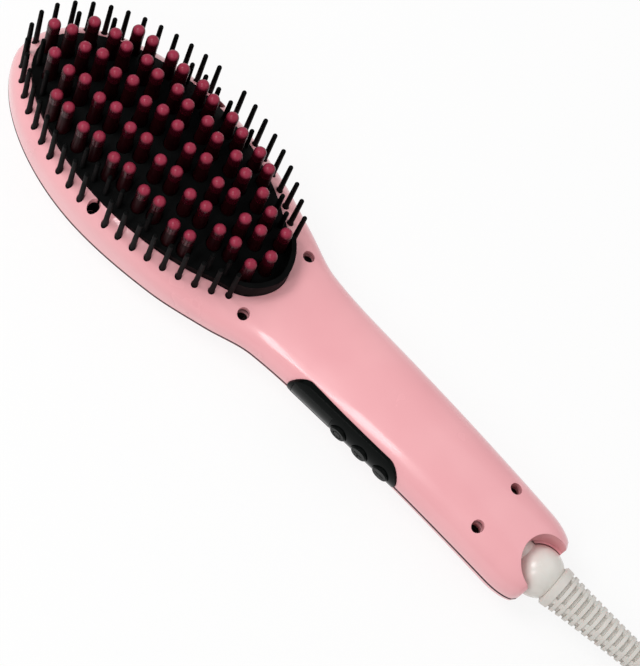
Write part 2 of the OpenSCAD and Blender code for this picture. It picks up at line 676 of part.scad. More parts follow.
// Control panel group
module control_panel() color(black) place() on_panel() difference() {
    union() {
        intersection() {
            slot_shape(panel_l, panel_h, panel_depth, 0);
            panel_face_cut(0);
        }
        slot_shape(panel_l + 2 * tab_out, tab_h, panel_depth + 1 - tab_from, tab_from);
        slot_shape(panel_l - 2, panel_h - 2, 2, panel_depth - 1);
        for (x = [-1, 1]) translate([x * board_screw_at, -panel_depth, 0]) rotate([90, 0, 0])
            cylinder(d = 4.4, h = board_back - panel_depth - 0.05, $fn = 36);
    }
    for (x = button_spots) translate([x, 5, 0]) rotate([90, 0, 0]) {
        cylinder(d = button_d + 2 * fit_gap, h = 20, $fn = 48);
        translate([0, 0, 7.5]) cylinder(d = button_d + 2.4, h = 20, $fn = 48);
    }
    translate([window_mid - window_l / 2 - fit_gap, -12, -window_h / 2 - fit_gap])
        cube([window_l + 2 * fit_gap, 20, window_h + 2 * fit_gap]);
    for (x = [-1, 1]) translate([x * board_screw_at, -board_back - 1, 0]) rotate([-90, 0, 0])
        cylinder(d = 1.8 + 2 * run_gap, h = 4.5, $fn = 24);
}
module display_window() color("#2C3A36") place() on_panel() intersection() {
    translate([window_mid - window_l / 2, -2, -window_h / 2]) cube([window_l, 4, window_h]);
    panel_face_cut(0.15);
}
module lcd_module() color("#7F8C86") place() on_panel()
    translate([window_mid - window_l / 2 + 0.5, -board_back + 0.05, -window_h / 2 + 0.5])
        cube([window_l - 1, board_back - 2.3, window_h - 1]);
module control_board() color("#2E6B45") place() on_panel() difference() {
    translate([-board_l / 2, -board_back - board_t, -board_h / 2]) cube([board_l, board_t, board_h]);
    for (x = [-1, 1]) translate([x * board_screw_at, -board_back - 3, 0]) rotate([-90, 0, 0])
        cylinder(d = 2.2, h = 5, $fn = 24);
}
module board_screws() color(steel) place() on_panel() for (x = [-1, 1])
    translate([x * board_screw_at, -board_back - board_t - 0.05, 0]) rotate([-90, 0, 0]) {
        translate([0, 0, -1.4]) cylinder(d = 3.6, h = 1.4, $fn = 36);
        translate([0, 0, -eps]) cylinder(d = 1.8, h = 5, $fn = 24);
    }
switch_h = 2.6;
module tact_switches() color("#D0CFCB") place() on_panel() for (x = button_spots)
    translate([x, -board_back + 0.05, 0]) {
        translate([-2.6, 0, -2.6]) cube([5.2, 1.6, 5.2]);
        rotate([-90, 0, 0]) cylinder(d = 2.6, h = switch_h, $fn = 32);
    }

// A button: a domed cap, a collar behind the panel, and a stem over its switch
cap_proud = 0.7;
collar_t = 0.8;
stem_end = board_back - switch_h - 0.05 - button_travel - 0.1;
module button(x, mark) on_panel() translate([x, 0, 0]) rotate([90, 0, 0]) difference() {
    union() {
        translate([0, 0, -cap_proud + 0.4]) cylinder(d = button_d, h = 3, $fn = 48);
        translate([0, 0, -cap_proud]) cylinder(d1 = button_d - 0.8, d2 = button_d, h = 0.4 + eps, $fn = 48);
        translate([0, 0, 2.65]) cylinder(d = button_d + 1.6, h = collar_t, $fn = 48);
        translate([0, 0, 2.65]) cylinder(d = 3.2, h = stem_end - 2.65, $fn = 32);
    }
    if (mark == "ring") difference() {
        translate([0, 0, -cap_proud - 1]) cylinder(d = 3.8, h = 1.25, $fn = 40);
        translate([0, 0, -cap_proud - 2]) cylinder(d = 2.8, h = 4, $fn = 40);
    }
    if (mark != "ring") translate([-1.8, -0.3, -cap_proud - 1]) cube([3.6, 0.6, 1.25]);
    if (mark == "plus") translate([-0.3, -1.8, -cap_proud - 1]) cube([0.6, 3.6, 1.25]);
}
module power_button() color("#222226") place() button(button_spots[0], "ring");
module plus_button() color("#222226") place() button(button_spots[1], "plus");
module minus_button() color("#222226") place() button(button_spots[2], "minus");

// Parts on the back of the control board
module behind_board(x, l, t, h) on_panel()
    translate([x - l / 2, -board_back - board_t - 0.05 - t, -h / 2]) cube([l, t, h]);
module triac() color("#1D1D20") place() behind_board(-16, 10, 4.4, 9);
module film_capacitor() color("#B03A2E") place() behind_board(8, 13, 6, 11);

// Tubes swept along points: the frame keeps one side level
function unit(v) = v / norm(v);
function dir_at(p, i) = unit(p[min(i + 1, len(p) - 1)] - p[max(i - 1, 0)]);
function side_of(d) = abs(d[2]) > 0.98 ? [0, 1, 0] : unit(cross([0, 0, 1], d));
function tube_points(p, d, n) = [for (i = [0:len(p) - 1]) let (t = dir_at(p, i), a = side_of(t), b = cross(t, a))
    for (k = [0:n - 1]) p[i] + d / 2 * (cos(360 * (k + 0.5) / n) * a + sin(360 * (k + 0.5) / n) * b)];
module tube(p, d, n) {
    m = len(p);
    walls = [for (i = [0:m - 2], k = [0:n - 1]) let (a = i * n + k, b = i * n + (k + 1) % n)
        each [[a, b + n, b], [a, a + n, b + n]]];
    ends = concat([for (k = [1:n - 2]) [0, k, k + 1]],
        [for (k = [1:n - 2]) [(m - 1) * n, (m - 1) * n + k + 1, (m - 1) * n + k]]);
    polyhedron(tube_points(p, d, n), concat(walls, ends));
}
function smooth(p, steps) = [for (i = [0:len(p) - 2]) each
    let (a = p[max(i - 1, 0)], b = p[i], c = p[i + 1], d = p[min(i + 2, len(p) - 1)])
    [for (k = [0:(i == len(p) - 2 ? steps : steps - 1)]) let (t = k / steps)
        0.5 * (2 * b + (c - a) * t + (2 * a - 5 * b + 4 * c - d) * t * t
            + (3 * b - a - 3 * c + d) * t * t * t)]];

// Wires inside the housing
wire_d = 1.6;
function wire(points) = smooth(points, 4);
element_end = ring_mid + element_l / 2;
lead_from = element_end + 14;
lead_to = panel_at - board_l / 2 - 1;
function lead_at(f) = lead_from + f * (lead_to - lead_from);
module heater_leads() color("#D9D3C4") place() for (y = [1, -1])
    tube(wire([[element_end + 0.3, 4 * y, element_z + 1.5], [element_end + 6, 5.8 * y, element_z + 0.6],
        [lead_from, 8 * y, 16], [lead_at(0.26), 6.5 * y, 11.5], [lead_at(0.52), 4.5 * y - 1, 10.8],
        [lead_at(0.77), 3 * y - 4, 12.6], [lead_to, 2.4 * y - 9.9, 15.5]]), wire_d, 6);
block_l = 10;
block_top = swivel_z - 4.6;
block_h = 5;
module block_post() in_swivel() translate([block_at + 1, -4, block_top - block_h - 3])
    cube([block_l - 2, 8, 2.95]);
module contact_block() color("#EDEAE2") place() in_swivel() translate([block_at, -6, block_top - block_h])
    cube([block_l, 12, block_h]);
module contact_fingers() color(brass) place() in_swivel() for (x = [1.8, 6.4])
    translate([block_at + x, -4, block_top + 0.05]) {
        cube([1.8, 8, 0.4]);
        translate([0, -1.2, 0]) cube([1.8, 1.2, 3.2]);
    }
supply_to = panel_at + board_l / 2 + 1;
module supply_leads() color("#6E4A3A") place() for (y = [1, -1])
    tube(wire([[block_at - 1.4, 3 * y, 10.4], [(block_at + supply_to) / 2, 3 * y - 3, 11.8],
        [supply_to, 2.4 * y - 8.2, 15]]), wire_d, 6);

// Swivel: a bush held by both shells, a journal with a collar inside it, rings and the ball
core_d = 6.4;
core_from = block_at + 0.5;
swivel_collar_t = 2.4;
collar_from = bush_from - ball_gap - swivel_collar_t;
module along_boot() translate([ball_at, 0, swivel_z]) rotate([0, 0, boot_yaw]) rotate([0, 90, 0]) children();
module swivel_bush() color("#CFCBC3") place() in_swivel() difference() {
    along_axis(bush_from, bush_l, bush_d / 2);
    along_axis(bush_from - 1, bush_l + 2, journal_d / 2 + run_gap);
    end_mouth();
}
module swivel_collar() color("#CFCBC3") place() in_swivel() difference() {
    along_axis(collar_from, swivel_collar_t, journal_d / 2 + 2.4);
    along_axis(collar_from - 1, swivel_collar_t + 2, core_d / 2 + run_gap / 2);
}
module slip_rings() color(brass) place() in_swivel() for (x = [1.8, 6.4]) difference() {
    along_axis(block_at + x - 0.4, 2.6, core_d / 2 + 0.9);
    along_axis(block_at + x - 1, 4, core_d / 2 + run_gap / 2);
}
module swivel_ball() color(white) place() difference() {
    union() {
        translate([ball_at, 0, swivel_z]) sphere(r = ball_d / 2, $fn = 96);
        in_swivel() {
            along_axis(collar_from + swivel_collar_t, ball_at - collar_from - swivel_collar_t, journal_d / 2);
            along_axis(core_from, ball_at - core_from, core_d / 2);
        }
    }
    along_boot() translate([0, 0, ball_flat]) cylinder(r = 30, h = 20, $fn = 24);
}

// Strain relief: a smooth collar, then rings that shrink towards the cord, joined by four webs
boot_root = 3.4;
rib_pitch = 2.8;
rib_gap = 1.2;
rib_depth = 1.5;
web_w = 2.2;
web_turn = 55;      // the webs stand this far round from the top
boot_end_d = cord_d + 3;
boot_run = boot_l - ball_flat;
rib_count = floor((boot_run - boot_root - 2) / rib_pitch);
function boot_r(z) = boot_d / 2 - (boot_d - boot_end_d) / 2 * pow(z / boot_run, 0.7);
module boot_ribs() rotate_extrude($fn = 72) polygon(concat(
    [[0, 0], [boot_r(0) - 1.2, 0], [boot_r(0) - 0.3, 0.6], [boot_r(1.6), 1.6], [boot_r(boot_root), boot_root]],
    [for (k = [0:rib_count - 1]) let (z = boot_root + k * rib_pitch) each
        [[boot_r(z) - rib_depth, z + 0.1], [boot_r(z) - rib_depth, z + rib_gap - 0.1],
            [boot_r(z + rib_gap), z + rib_gap], [boot_r(z + rib_pitch - 0.2), z + rib_pitch - 0.2]]],
    [[boot_r(boot_run), boot_run], [0, boot_run]]));
module boot_webs() intersection() {
    rotate_extrude($fn = 72) polygon(concat([[0, boot_root - 1]],
        [for (z = [boot_root - 1:5:boot_run - 1]) [boot_r(z) - 0.25, z]],
        [[boot_r(boot_run - 1) - 0.25, boot_run - 1], [0, boot_run - 1]]));
    for (a = [0, 90]) rotate([0, 0, web_turn + a]) translate([-20, -web_w / 2, 0]) cube([40, web_w, boot_run]);
}
module strain_relief() color(white) place() along_boot() translate([0, 0, ball_flat + 0.02]) {
    boot_ribs();
    boot_webs();
}

// Cord: a short run down to the table, a coil of four layers, and a tail to the plug on top of it
cord_z = cord_d / 2 + 0.8;
boot_out = boot_l + 0.06;
boot_end = [ball_at - mid + boot_out * cos(boot_yaw), boot_out * sin(boot_yaw), swivel_z];
cord_y = 12;
coil_x = 232;
coil_turns = 7;
coil_layers = 4;
coil_r = 36;
turn_pitch = cord_d + 0.7;
layer_pitch = cord_d + 0.5;
layer_turns = coil_turns / coil_layers;
coil_out = coil_r + turn_pitch * layer_turns / 2;
coil_y = cord_y - coil_out;
coil_lead = 9;
function fold(u) = let (f = u - floor(u / 2) * 2) f < 1 ? f : 2 - f;
function ease(f) = f * f * (3 - 2 * f);
function climb(t) = let (n = round(t / layer_turns), d = (t - n * layer_turns) / 0.25)
    n <= 0 || n >= coil_layers || abs(d) >= 1 ? floor(min(t / layer_turns, coil_layers - eps))
    : n - 1 + ease((d + 1) / 2);
function coil_point(t) = let (a = 90 - 360 * t, r = coil_out - turn_pitch * layer_turns * fold(t / layer_turns))
    [coil_x + r * cos(a), coil_y + r * sin(a), cord_z + layer_pitch * climb(t)];
function coil_path(rings) = concat(
    [[coil_x - coil_lead, cord_y, cord_z]],
    [for (k = [0:rings * coil_turns]) coil_point(k / rings)],
    [tail_start]);
tail_start = [coil_x + coil_lead, cord_y, cord_z + layer_pitch * (coil_layers - 1)];
coil_rings = 24;
module cord_coil() color(white) {
    check = [for (k = [0:2 * coil_rings * coil_turns]) coil_point(k / 2 / coil_rings)];
    gaps = [for (i = [0:len(check) - 1], j = [i + coil_rings:1:len(check) - 1]) norm(check[i] - check[j])];
    echo(least_gap_of_coil = min(gaps) - cord_d);
    tube(coil_path(coil_rings), cord_d, 6);
}
run_points = [boot_end, [179, 4.6, 13.1], [184, 5.3, 12.7], [190, 6.6, 11.6], [197, 8.5, 9.6],
    [204, 10.4, 7.4], [211, 11.7, 5.3], [217, cord_y, cord_z], [coil_x - coil_lead, cord_y, cord_z]];
module cord_run() color(white) tube(run_points, cord_d, 12);
tail_points = [[243, cord_y, tail_start[2]], [249.5, 11.9, 25.1], [257.6, 10, 25.6], [265.8, 5.6, 26.6],
    [272.4, -1.2, 27.8], [276.6, -10.2, 29.1], [278, -19.9, 30.4], [276.6, -29.6, 31.7], [272.4, -38.6, 32.9],
    [265.8, -45.4, 34], [257.6, -49.8, 34.9], [249.5, -51.7, 35.3], [246, -51.8, 35.4]];
plug_at = [244, -51.8, 35.4];
module cord_tail() color(white) tube(concat([tail_start], smooth(tail_points, 2), [plug_at]), cord_d, 12);
tie_w = 10;
tie_t = 0.6;
tie_out = coil_out + cord_d / 2 + 0.4;
tie_in = coil_out - turn_pitch * layer_turns - cord_d / 2 - 0.4;
tie_h = cord_z + layer_pitch * (coil_layers - 1) + cord_d / 2 + 0.25;
module tie_shape(grow) {
    translate([coil_x - tie_out - grow, cord_z - cord_d / 2 - 0.15 - grow])
        square([tie_out - tie_in + 2 * grow, tie_h - cord_z + cord_d / 2 + 0.15 + 2 * grow]);
}
module cord_tie() color("#2B2B2E") translate([0, coil_y + tie_w / 2, 0]) rotate([90, 0, 0])
    linear_extrude(tie_w) difference() {
        tie_shape(tie_t);
        tie_shape(0);
    }

// Flat two-pin plug, lying on the coil
plug_l = 36;
plug_w = 35;
plug_t = 13.6;
plug_pin_d = 4;
plug_pin_l = 19;
plug_pin_gap = 18.6;
plug_shank_d = 3.6;
plug_turn = 90;
module on_plug() translate(plug_at) rotate([0, 0, plug_turn]) rotate([-90, 0, 0]) children();
module plug_body() color(white) on_plug() difference() {
    union() {
        cylinder(d1 = cord_d + 2.5, d2 = 12, h = 16, $fn = 48);
        rotate([90, 0, 0]) translate([0, 0, -plug_t / 2]) linear_extrude(plug_t)
            polygon([[-6, 14], [6, 14], [plug_w / 2, 25], [plug_w / 2, plug_l], [-plug_w / 2, plug_l],
                [-plug_w / 2, 25]]);
    }
    for (x = [-1, 1]) translate([x * plug_pin_gap / 2, 0, plug_l - 10])
        cylinder(d = plug_shank_d + run_gap, h = 11, $fn = 36);
}
module plug_pins() color(steel) on_plug() for (x = [-1, 1])
    translate([x * plug_pin_gap / 2, 0, plug_l + 0.05]) {
        translate([0, 0, -9.95]) cylinder(d = plug_shank_d, h = 10, $fn = 36);
        cylinder(d = plug_pin_d, h = plug_pin_l - 1, $fn = 36);
        translate([0, 0, plug_pin_l - 1 - eps]) cylinder(d1 = plug_pin_d, d2 = plug_pin_d - 1.4, h = 1, $fn = 36);
    }

front_shell();
rear_shell();
edge_comb();
comb_base();
heater_plate();
tooth_tips();
heating_element();
insulation_sheet();
heater_clamp();
clamp_screws();
thermal_fuse();
thermistor();
heat_shield();
shield_screws();
housing_screws();
control_panel();
display_window();
lcd_module();
control_board();
board_screws();
tact_switches();
power_button();
plus_button();
minus_button();
triac();
film_capacitor();
heater_leads();
supply_leads();
contact_block();
contact_fingers();
swivel_bush();
swivel_collar();
slip_rings();
swivel_ball();
strain_relief();
cord_run();
cord_coil();
cord_tail();
cord_tie();
plug_body();
plug_pins();
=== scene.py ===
"""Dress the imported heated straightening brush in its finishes, and set up its camera, floor and lamps."""
import logging
import math
from dataclasses import dataclass, field
from enum import Enum
from typing import Any, Iterable, Optional, Sequence

import bmesh
import bpy
from mathutils import Matrix, Vector


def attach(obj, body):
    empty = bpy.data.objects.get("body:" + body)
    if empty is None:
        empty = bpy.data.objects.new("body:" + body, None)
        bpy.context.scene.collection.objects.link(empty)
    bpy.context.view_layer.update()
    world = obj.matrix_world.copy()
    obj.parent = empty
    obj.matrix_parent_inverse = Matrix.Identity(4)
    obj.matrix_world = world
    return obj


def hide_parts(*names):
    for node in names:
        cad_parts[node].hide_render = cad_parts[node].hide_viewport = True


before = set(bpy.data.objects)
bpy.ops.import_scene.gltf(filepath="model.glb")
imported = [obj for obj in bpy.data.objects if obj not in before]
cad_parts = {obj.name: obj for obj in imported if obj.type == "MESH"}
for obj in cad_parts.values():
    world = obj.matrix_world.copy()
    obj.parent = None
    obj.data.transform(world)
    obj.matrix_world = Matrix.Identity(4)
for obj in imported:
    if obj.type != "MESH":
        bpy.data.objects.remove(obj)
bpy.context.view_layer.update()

LOG = logging.getLogger("brush")
MM = 0.001
WELD_MM = 0.001                 # corners closer than this are one corner
TALL_MM = 60.0                  # height that clears the whole brush
CALM, WILD = 0.3, 0.7           # the range that noise mostly keeps to

Point = tuple[float, float, float]
Keys = Sequence[tuple[float, float]]
Face = tuple[int, ...]
Solid = tuple[list[Point], list[Face]]
Piece = bpy.types.Object
Tree = bpy.types.NodeTree
Socket = bpy.types.NodeSocket


class Body(str, Enum):
    """The bodies that the scene's own pieces ride on."""

    HOUSING = "housing"
    SWIVEL = "cord_swivel"


class Side(Enum):
    """Which half of the housing, and the way that it lies from the parting line."""

    FRONT = 1
    REAR = -1


class Cut(Enum):
    """What a cutting shape does to a piece."""

    AWAY = "DIFFERENCE"
    KEEP = "INTERSECT"
    ADD = "UNION"


def linear(code: str) -> tuple[float, float, float, float]:
    """Turn a colour into the linear values that shaders take.

    Args:
        code: The colour as an sRGB hex code, such as #F4B0B5.

    Returns:
        Red, green, blue and an alpha of 1.
    """
    parts = [int(code[i:i + 2], 16) / 255 for i in (1, 3, 5)]
    red, green, blue = (p / 12.92 if p <= 0.04045 else ((p + 0.055) / 1.055) ** 2.4 for p in parts)
    return red, green, blue, 1.0


def add_node(tree: Tree, kind: str, settings: Optional[dict[str, Any]] = None,
             inputs: Optional[dict[Any, Any]] = None,
             stops: Sequence[tuple[float, Any]] = ()) -> bpy.types.Node:
    """Add a shader node with its settings, its values and its links.

    Args:
        tree: Node tree of the material or world.
        kind: Blender's name of the shader node's type, without its first word.
        settings: Properties of the node itself.
        inputs: Value or output socket for each input, by name or number.
        stops: Places and colours of a colour ramp.

    Returns:
        The new node.
    """
    node = tree.nodes.new("ShaderNode" + kind)
    for name, value in (settings or {}).items():
        setattr(node, name, value)
    for name, value in (inputs or {}).items():
        if isinstance(value, Socket):
            tree.links.new(value, node.inputs[name])
        else:
            node.inputs[name].default_value = value
    for i, (place, colour) in enumerate(stops):
        stop = node.color_ramp.elements[i] if i < 2 else node.color_ramp.elements.new(place)
        stop.position = place
        stop.color = colour
    return node


@dataclass(frozen=True)
class Finish:
    """A surface as a maker would name it; every length of its pattern is in millimetres."""

    name: str
    colour: str
    shade: str
    blotch_mm: float = 18.0
    roughness: float = 0.4
    roughness_swing: float = 0.06
    grain_mm: float = 0.5
    grain_depth_mm: float = 0.01
    edge_mm: float = 0.25
    ior: float = 1.5
    metallic: float = 0.0
    coat: float = 0.0
    coat_roughness: float = 0.1
    specular: float = 0.5
    gloss_blotch: float = 0.6       # size of the gloss's blotches against the colour's

    def coordinates(self, tree: Tree) -> Socket:
        """Return the coordinates of the piece itself, in metres."""
        return add_node(tree, "TexCoord").outputs["Object"]

    def noise(self, tree: Tree, size_mm: float, detail: float = 2.0) -> Socket:
        """Return noise whose bumps are about size_mm wide."""
        return add_node(tree, "TexNoise", None, {
            "Vector": self.coordinates(tree), "Scale": 1000 / size_mm, "Detail": detail}).outputs["Fac"]

    def tint(self, tree: Tree) -> Socket:
        """Return the colour, which drifts a little between colour and shade as moulded or cast stock does."""
        return add_node(tree, "ValToRGB", None, {"Fac": self.noise(tree, self.blotch_mm)},
                        [(CALM, linear(self.colour)), (WILD, linear(self.shade))]).outputs["Color"]

    def relief(self, tree: Tree) -> Socket:
        """Return the height of the grain, from 0 to 1."""
        return self.noise(tree, self.grain_mm, 3.0)

    def gloss(self, tree: Tree) -> Socket:
        """Make the roughness, a little uneven as on a handled surface.

        Args:
            tree: Node tree of the material.

        Returns:
            Socket with the roughness.
        """
        return add_node(tree, "MapRange", None, {
            "Value": self.noise(tree, self.blotch_mm * self.gloss_blotch, 3.0),
            "From Min": CALM, "From Max": WILD,
            "To Min": self.roughness - self.roughness_swing,
            "To Max": self.roughness + self.roughness_swing}).outputs["Result"]

    def build(self) -> bpy.types.Material:
        """Make the material, unless one of this name is there.

        Returns:
            The material.
        """
        known = bpy.data.materials.get(self.name)
        if known:
            return known
        material = bpy.data.materials.new(self.name)
        material.use_nodes = True
        tree = material.node_tree
        tree.nodes.clear()
        # A moulded or machined edge is never sharp: it is rounded by edge_mm
        rounded = add_node(tree, "Bevel", {"samples": 4}, {"Radius": self.edge_mm * MM})
        bump = add_node(tree, "Bump", None, {
            "Strength": 1.0, "Distance": self.grain_depth_mm * MM, "Height": self.relief(tree),
            "Normal": rounded.outputs["Normal"]})
        surface = add_node(tree, "BsdfPrincipled", None, {
            "Base Color": self.tint(tree), "Roughness": self.gloss(tree), "Normal": bump.outputs["Normal"],
            "IOR": self.ior, "Metallic": self.metallic, "Coat Weight": self.coat,
            "Coat Roughness": self.coat_roughness, "Specular IOR Level": self.specular})
        self.finish_surface(tree, surface)
        add_node(tree, "OutputMaterial", None, {"Surface": surface.outputs["BSDF"]})
        return material

    def finish_surface(self, tree: Tree, surface: bpy.types.Node) -> None:
        """Set what a special finish adds to the surface; a plain one adds nothing."""


@dataclass(frozen=True)
class Brushed(Finish):
    """Metal with fine lines from rolling, turning or brushing along one direction."""

    metallic: float = 1.0
    line_mm: float = 0.12
    line_lengths: float = 30.0      # a line is this many times as long as it is wide
    along: Point = (1.0, 0.0, 0.0)

    def relief(self, tree: Tree) -> Socket:
        """Make lines line_mm apart, which run along one direction.

        Args:
            tree: Node tree of the material.

        Returns:
            Socket with the height, from 0 to 1.
        """
        stretch = [1 / self.line_lengths if c else 1.0 for c in self.along]
        scaled = add_node(tree, "Mapping", None, {
            "Vector": self.coordinates(tree), "Scale": stretch})
        return add_node(tree, "TexNoise", None, {
            "Vector": scaled.outputs["Vector"], "Scale": 1000 / self.line_mm, "Detail": 2.0}).outputs["Fac"]


@dataclass(frozen=True)
class Speckled(Finish):
    """A coat or a sheet with small flecks in another colour, such as glazed coat or mica."""

    fleck: str = "#FFFFFF"
    fleck_mm: float = 0.6
    fleck_share: float = 0.3
    fleck_core: float = 0.6         # share of a fleck's radius that has its full colour

    def tint(self, tree: Tree) -> Socket:
        """Make the drifting colour, with flecks fleck_mm apart.

        Args:
            tree: Node tree of the material.

        Returns:
            Socket with the colour.
        """
        ground = super().tint(tree)
        cells = add_node(tree, "TexVoronoi", None, {
            "Vector": self.coordinates(tree), "Scale": 1000 / self.fleck_mm})
        mask = add_node(tree, "MapRange", None, {
            "Value": cells.outputs["Distance"], "From Min": self.fleck_share,
            "From Max": self.fleck_share * self.fleck_core, "To Min": 0.0, "To Max": 1.0})
        return add_node(tree, "Mix", {"data_type": "RGBA"}, {
            "Factor": mask.outputs["Result"], 6: ground, 7: linear(self.fleck)}).outputs[2]


@dataclass(frozen=True)
class Laminate(Finish):
    """Circuit board: solder mask over copper tracks track_mm wide."""

    track: str = "#3F8A5A"
    track_mm: float = 1.6
    mesh_tracks: float = 4.0        # tracks across one mesh of their net
    track_share: float = 0.03

    def tint(self, tree: Tree) -> Socket:
        """Make the mask's green, lighter where a track runs below it.

        Args:
            tree: Node tree of the material.

        Returns:
            Socket with the colour.
        """
        ground = super().tint(tree)
        bricks = add_node(tree, "TexBrick", None, {
            "Vector": self.coordinates(tree), "Scale": 1000 / self.track_mm / self.mesh_tracks,
            "Mortar Size": self.track_share, "Color1": linear("#FFFFFF"), "Color2": linear("#FFFFFF"),
            "Mortar": linear("#000000")})
        return add_node(tree, "Mix", {"data_type": "RGBA"}, {
            "Factor": bricks.outputs["Fac"], 6: ground, 7: linear(self.track)}).outputs[2]


@dataclass(frozen=True)
class Clear(Finish):
    """Clear or smoked moulding that lets some light through."""

    through: float = 0.6

    def finish_surface(self, tree: Tree, surface: bpy.types.Node) -> None:
        """Let light through in the share that the piece has."""
        surface.inputs["Transmission Weight"].default_value = self.through


@dataclass(frozen=True)
class Waxy(Finish):
    """Soft or filled plastic in which light spreads a short way below the surface."""

    spread: float = 0.15
    spread_mm: float = 1.2
    reach: Point = (1.0, 0.5, 0.45)     # how far red, green and blue light go, red being 1

    def finish_surface(self, tree: Tree, surface: bpy.types.Node) -> None:
        """Let light spread by spread_mm below the surface.

        Args:
            tree: Node tree of the material.
            surface: Its surface shader.
        """
        surface.inputs["Subsurface Weight"].default_value = self.spread
        surface.inputs["Subsurface Radius"].default_value = self.reach
        surface.inputs["Subsurface Scale"].default_value = self.spread_mm * MM


@dataclass(frozen=True)
class SideShadedWaxy(Waxy):
    """Waxy plastic with painted shade down its sides: a darker colour where the surface stands, its own
    colour where it faces up.
    """

    # colour of the painted shade down the sides, and how upright a surface is where it starts and where it is
    # full
    side: str = "#000000"
    stands: float = 0.1             # a surface's upward share where it counts as a side
    faces_up: float = 0.85

    def tint(self, tree: Tree) -> Socket:
        """Make the top's own colour where the surface faces up, and the painted shade's colour where it
        stands.

        Args:
            tree: Node tree of the material.

        Returns:
            Socket with the colour.
        """
        top = super().tint(tree)
        way = add_node(tree, "SeparateXYZ", None, {
            0: add_node(tree, "TexCoord").outputs["Normal"]})
        share = add_node(tree, "MapRange", {"interpolation_type": "SMOOTHSTEP"}, {
            "Value": way.outputs["Z"], "From Min": self.stands, "From Max": self.faces_up, "To Min": 0.0,
            "To Max": 1.0})
        return add_node(tree, "Mix", {"data_type": "RGBA"}, {
            "Factor": share.outputs["Result"], 6: linear(self.side), 7: top}).outputs[2]


# ABS from a polished mould: glossy, with a faint orange peel from the melt's flow
PINK_ABS = Finish("pink_gloss_abs", "#F4B0B5", "#F0A9AF", 26, 0.24, 0.04, 1.6, 0.006, 0.35, 1.5,
                  coat=0.35, coat_roughness=0.08)
# The same ABS in the chamfers of the parting line, painted dull grey as the seam's shade: a thin dark line of
# painted shade
PAINTED_SEAM_SHADE = Finish("painted_seam_shade_abs", "#5A4A4E", "#4E4044", 12, 0.6, 0.05, 0.5, 0.01, 0.05, 1.5, specular=0.2)
# PA66 with glass from an eroded mould: black and dull, with a grain too fine to see but in its gloss
BLACK_PA = Finish("black_satin_pa66", "#050606", "#090A0A", 9, 0.6, 0.07, 0.35, 0.012, 0.2, 1.53,
                  specular=0.04)
# Cast aluminium under a baked ceramic coat: dark red, with the coat's small flecks
COATED_PLATE = Speckled("red_ceramic_coated_aluminium", "#29060A", "#1E0407", 6, 0.4, 0.06, 0.4, 0.012, 0.15,
                        1.55, specular=0.05, fleck="#330A14", fleck_mm=0.5, fleck_share=0.22)
# Heat resistant PBT tips: coral red, with painted shade darkening their sides to dark red so that their tops
# look lit
RED_PBT = SideShadedWaxy("coral_red_pbt", "#9A3048", "#8E2A3E", 4, 0.28, 0.05, 0.3, 0.008, 0.1, 1.5,
                 spread=0.08, spread_mm=0.6, side="#3A0512", specular=0.2)
# Polished black PC of the panel: smooth and slightly wavy from cooling
PANEL_PC = Finish("black_polished_pc", "#060908", "#080B0A", 14, 0.14, 0.02, 2.2, 0.003, 0.3, 1.58,
                  specular=0.05)
# Smoked PMMA of the window: flat and smooth, with a hint of the display behind it
WINDOW_PMMA = Clear("smoked_pmma", "#0C100E", "#090D0B", 10, 0.07, 0.02, 2.5, 0.002, 0.15, 1.49,
                    specular=0.06, through=0.15)
# ABS of the buttons, moulded with a satin skin: black with a softer gleam than the panel's
BUTTON_ABS = Finish("black_satin_abs", "#090B0A", "#0C0E0D", 3, 0.22, 0.04, 0.25, 0.006, 0.2, 1.5,
                    specular=0.06)
# Polished ABS of the ball: smooth, slightly warm white, with a round gleam
BALL_ABS = Waxy("ivory_gloss_abs", "#E6E2DC", "#E0DCD5", 7, 0.24, 0.04, 0.9, 0.005, 0.2, 1.5,
                spread=0.1, spread_mm=1.0)
# Soft PVC of the boot, the cord and the plug: the same white, duller, with a satin skin
SOFT_PVC = Waxy("ivory_soft_pvc", "#DEDAD4", "#D5D0C9", 12, 0.46, 0.06, 0.4, 0.012, 0.25, 1.52,
                spread=0.12, spread_mm=1.0)
# Turned acetal of bush and collar: milky and slippery, never quite glossy
ACETAL = Waxy("natural_acetal", "#E7E4DC", "#DEDAD0", 6, 0.4, 0.05, 0.4, 0.008, 0.2, 1.48)
# Extruded PVC of the tie: dull black
TIE_PVC = Finish("black_tie_pvc", "#1B1B1D", "#232326", 5, 0.5, 0.06, 0.5, 0.02, 0.15, 1.5)
# Fired alumina of the element: chalky white and dry
ALUMINA = Finish("fired_alumina", "#E9E5DB", "#DFD9CC", 5, 0.55, 0.06, 0.3, 0.02, 0.1, 1.7)
# Pressed mica: brown, with pale glinting flakes
MICA = Speckled("pressed_mica", "#A58E63", "#8F7A52", 5, 0.42, 0.08, 0.6, 0.02, 0.05, 1.56,
                fleck="#D8C79A", fleck_mm=1.4, fleck_share=0.3)
# Moulded PPS with glass: dark grey and dull
SHIELD_PPS = Finish("dark_pps", "#2B2B2D", "#333336", 8, 0.5, 0.06, 0.3, 0.015, 0.2, 1.6)
# Rolled spring steel of the clamp: grey, with fine lines along it
SPRING_STEEL = Brushed("rolled_spring_steel", "#B9BABC", "#A9AAAD", 9, 0.32, 0.06, edge_mm=0.1)
# Heads of the housing's screws: phosphated black, darkened further with painted shade so that they are lost
# in their recesses
BLACK_STEEL_PAINTED_SHADE = Brushed("black_steel_painted_recess_shade", "#2A2422", "#1E1A19", 2, 0.5, 0.08, edge_mm=0.12,
                      line_mm=0.2, along=(0.0, 0.0, 1.0))
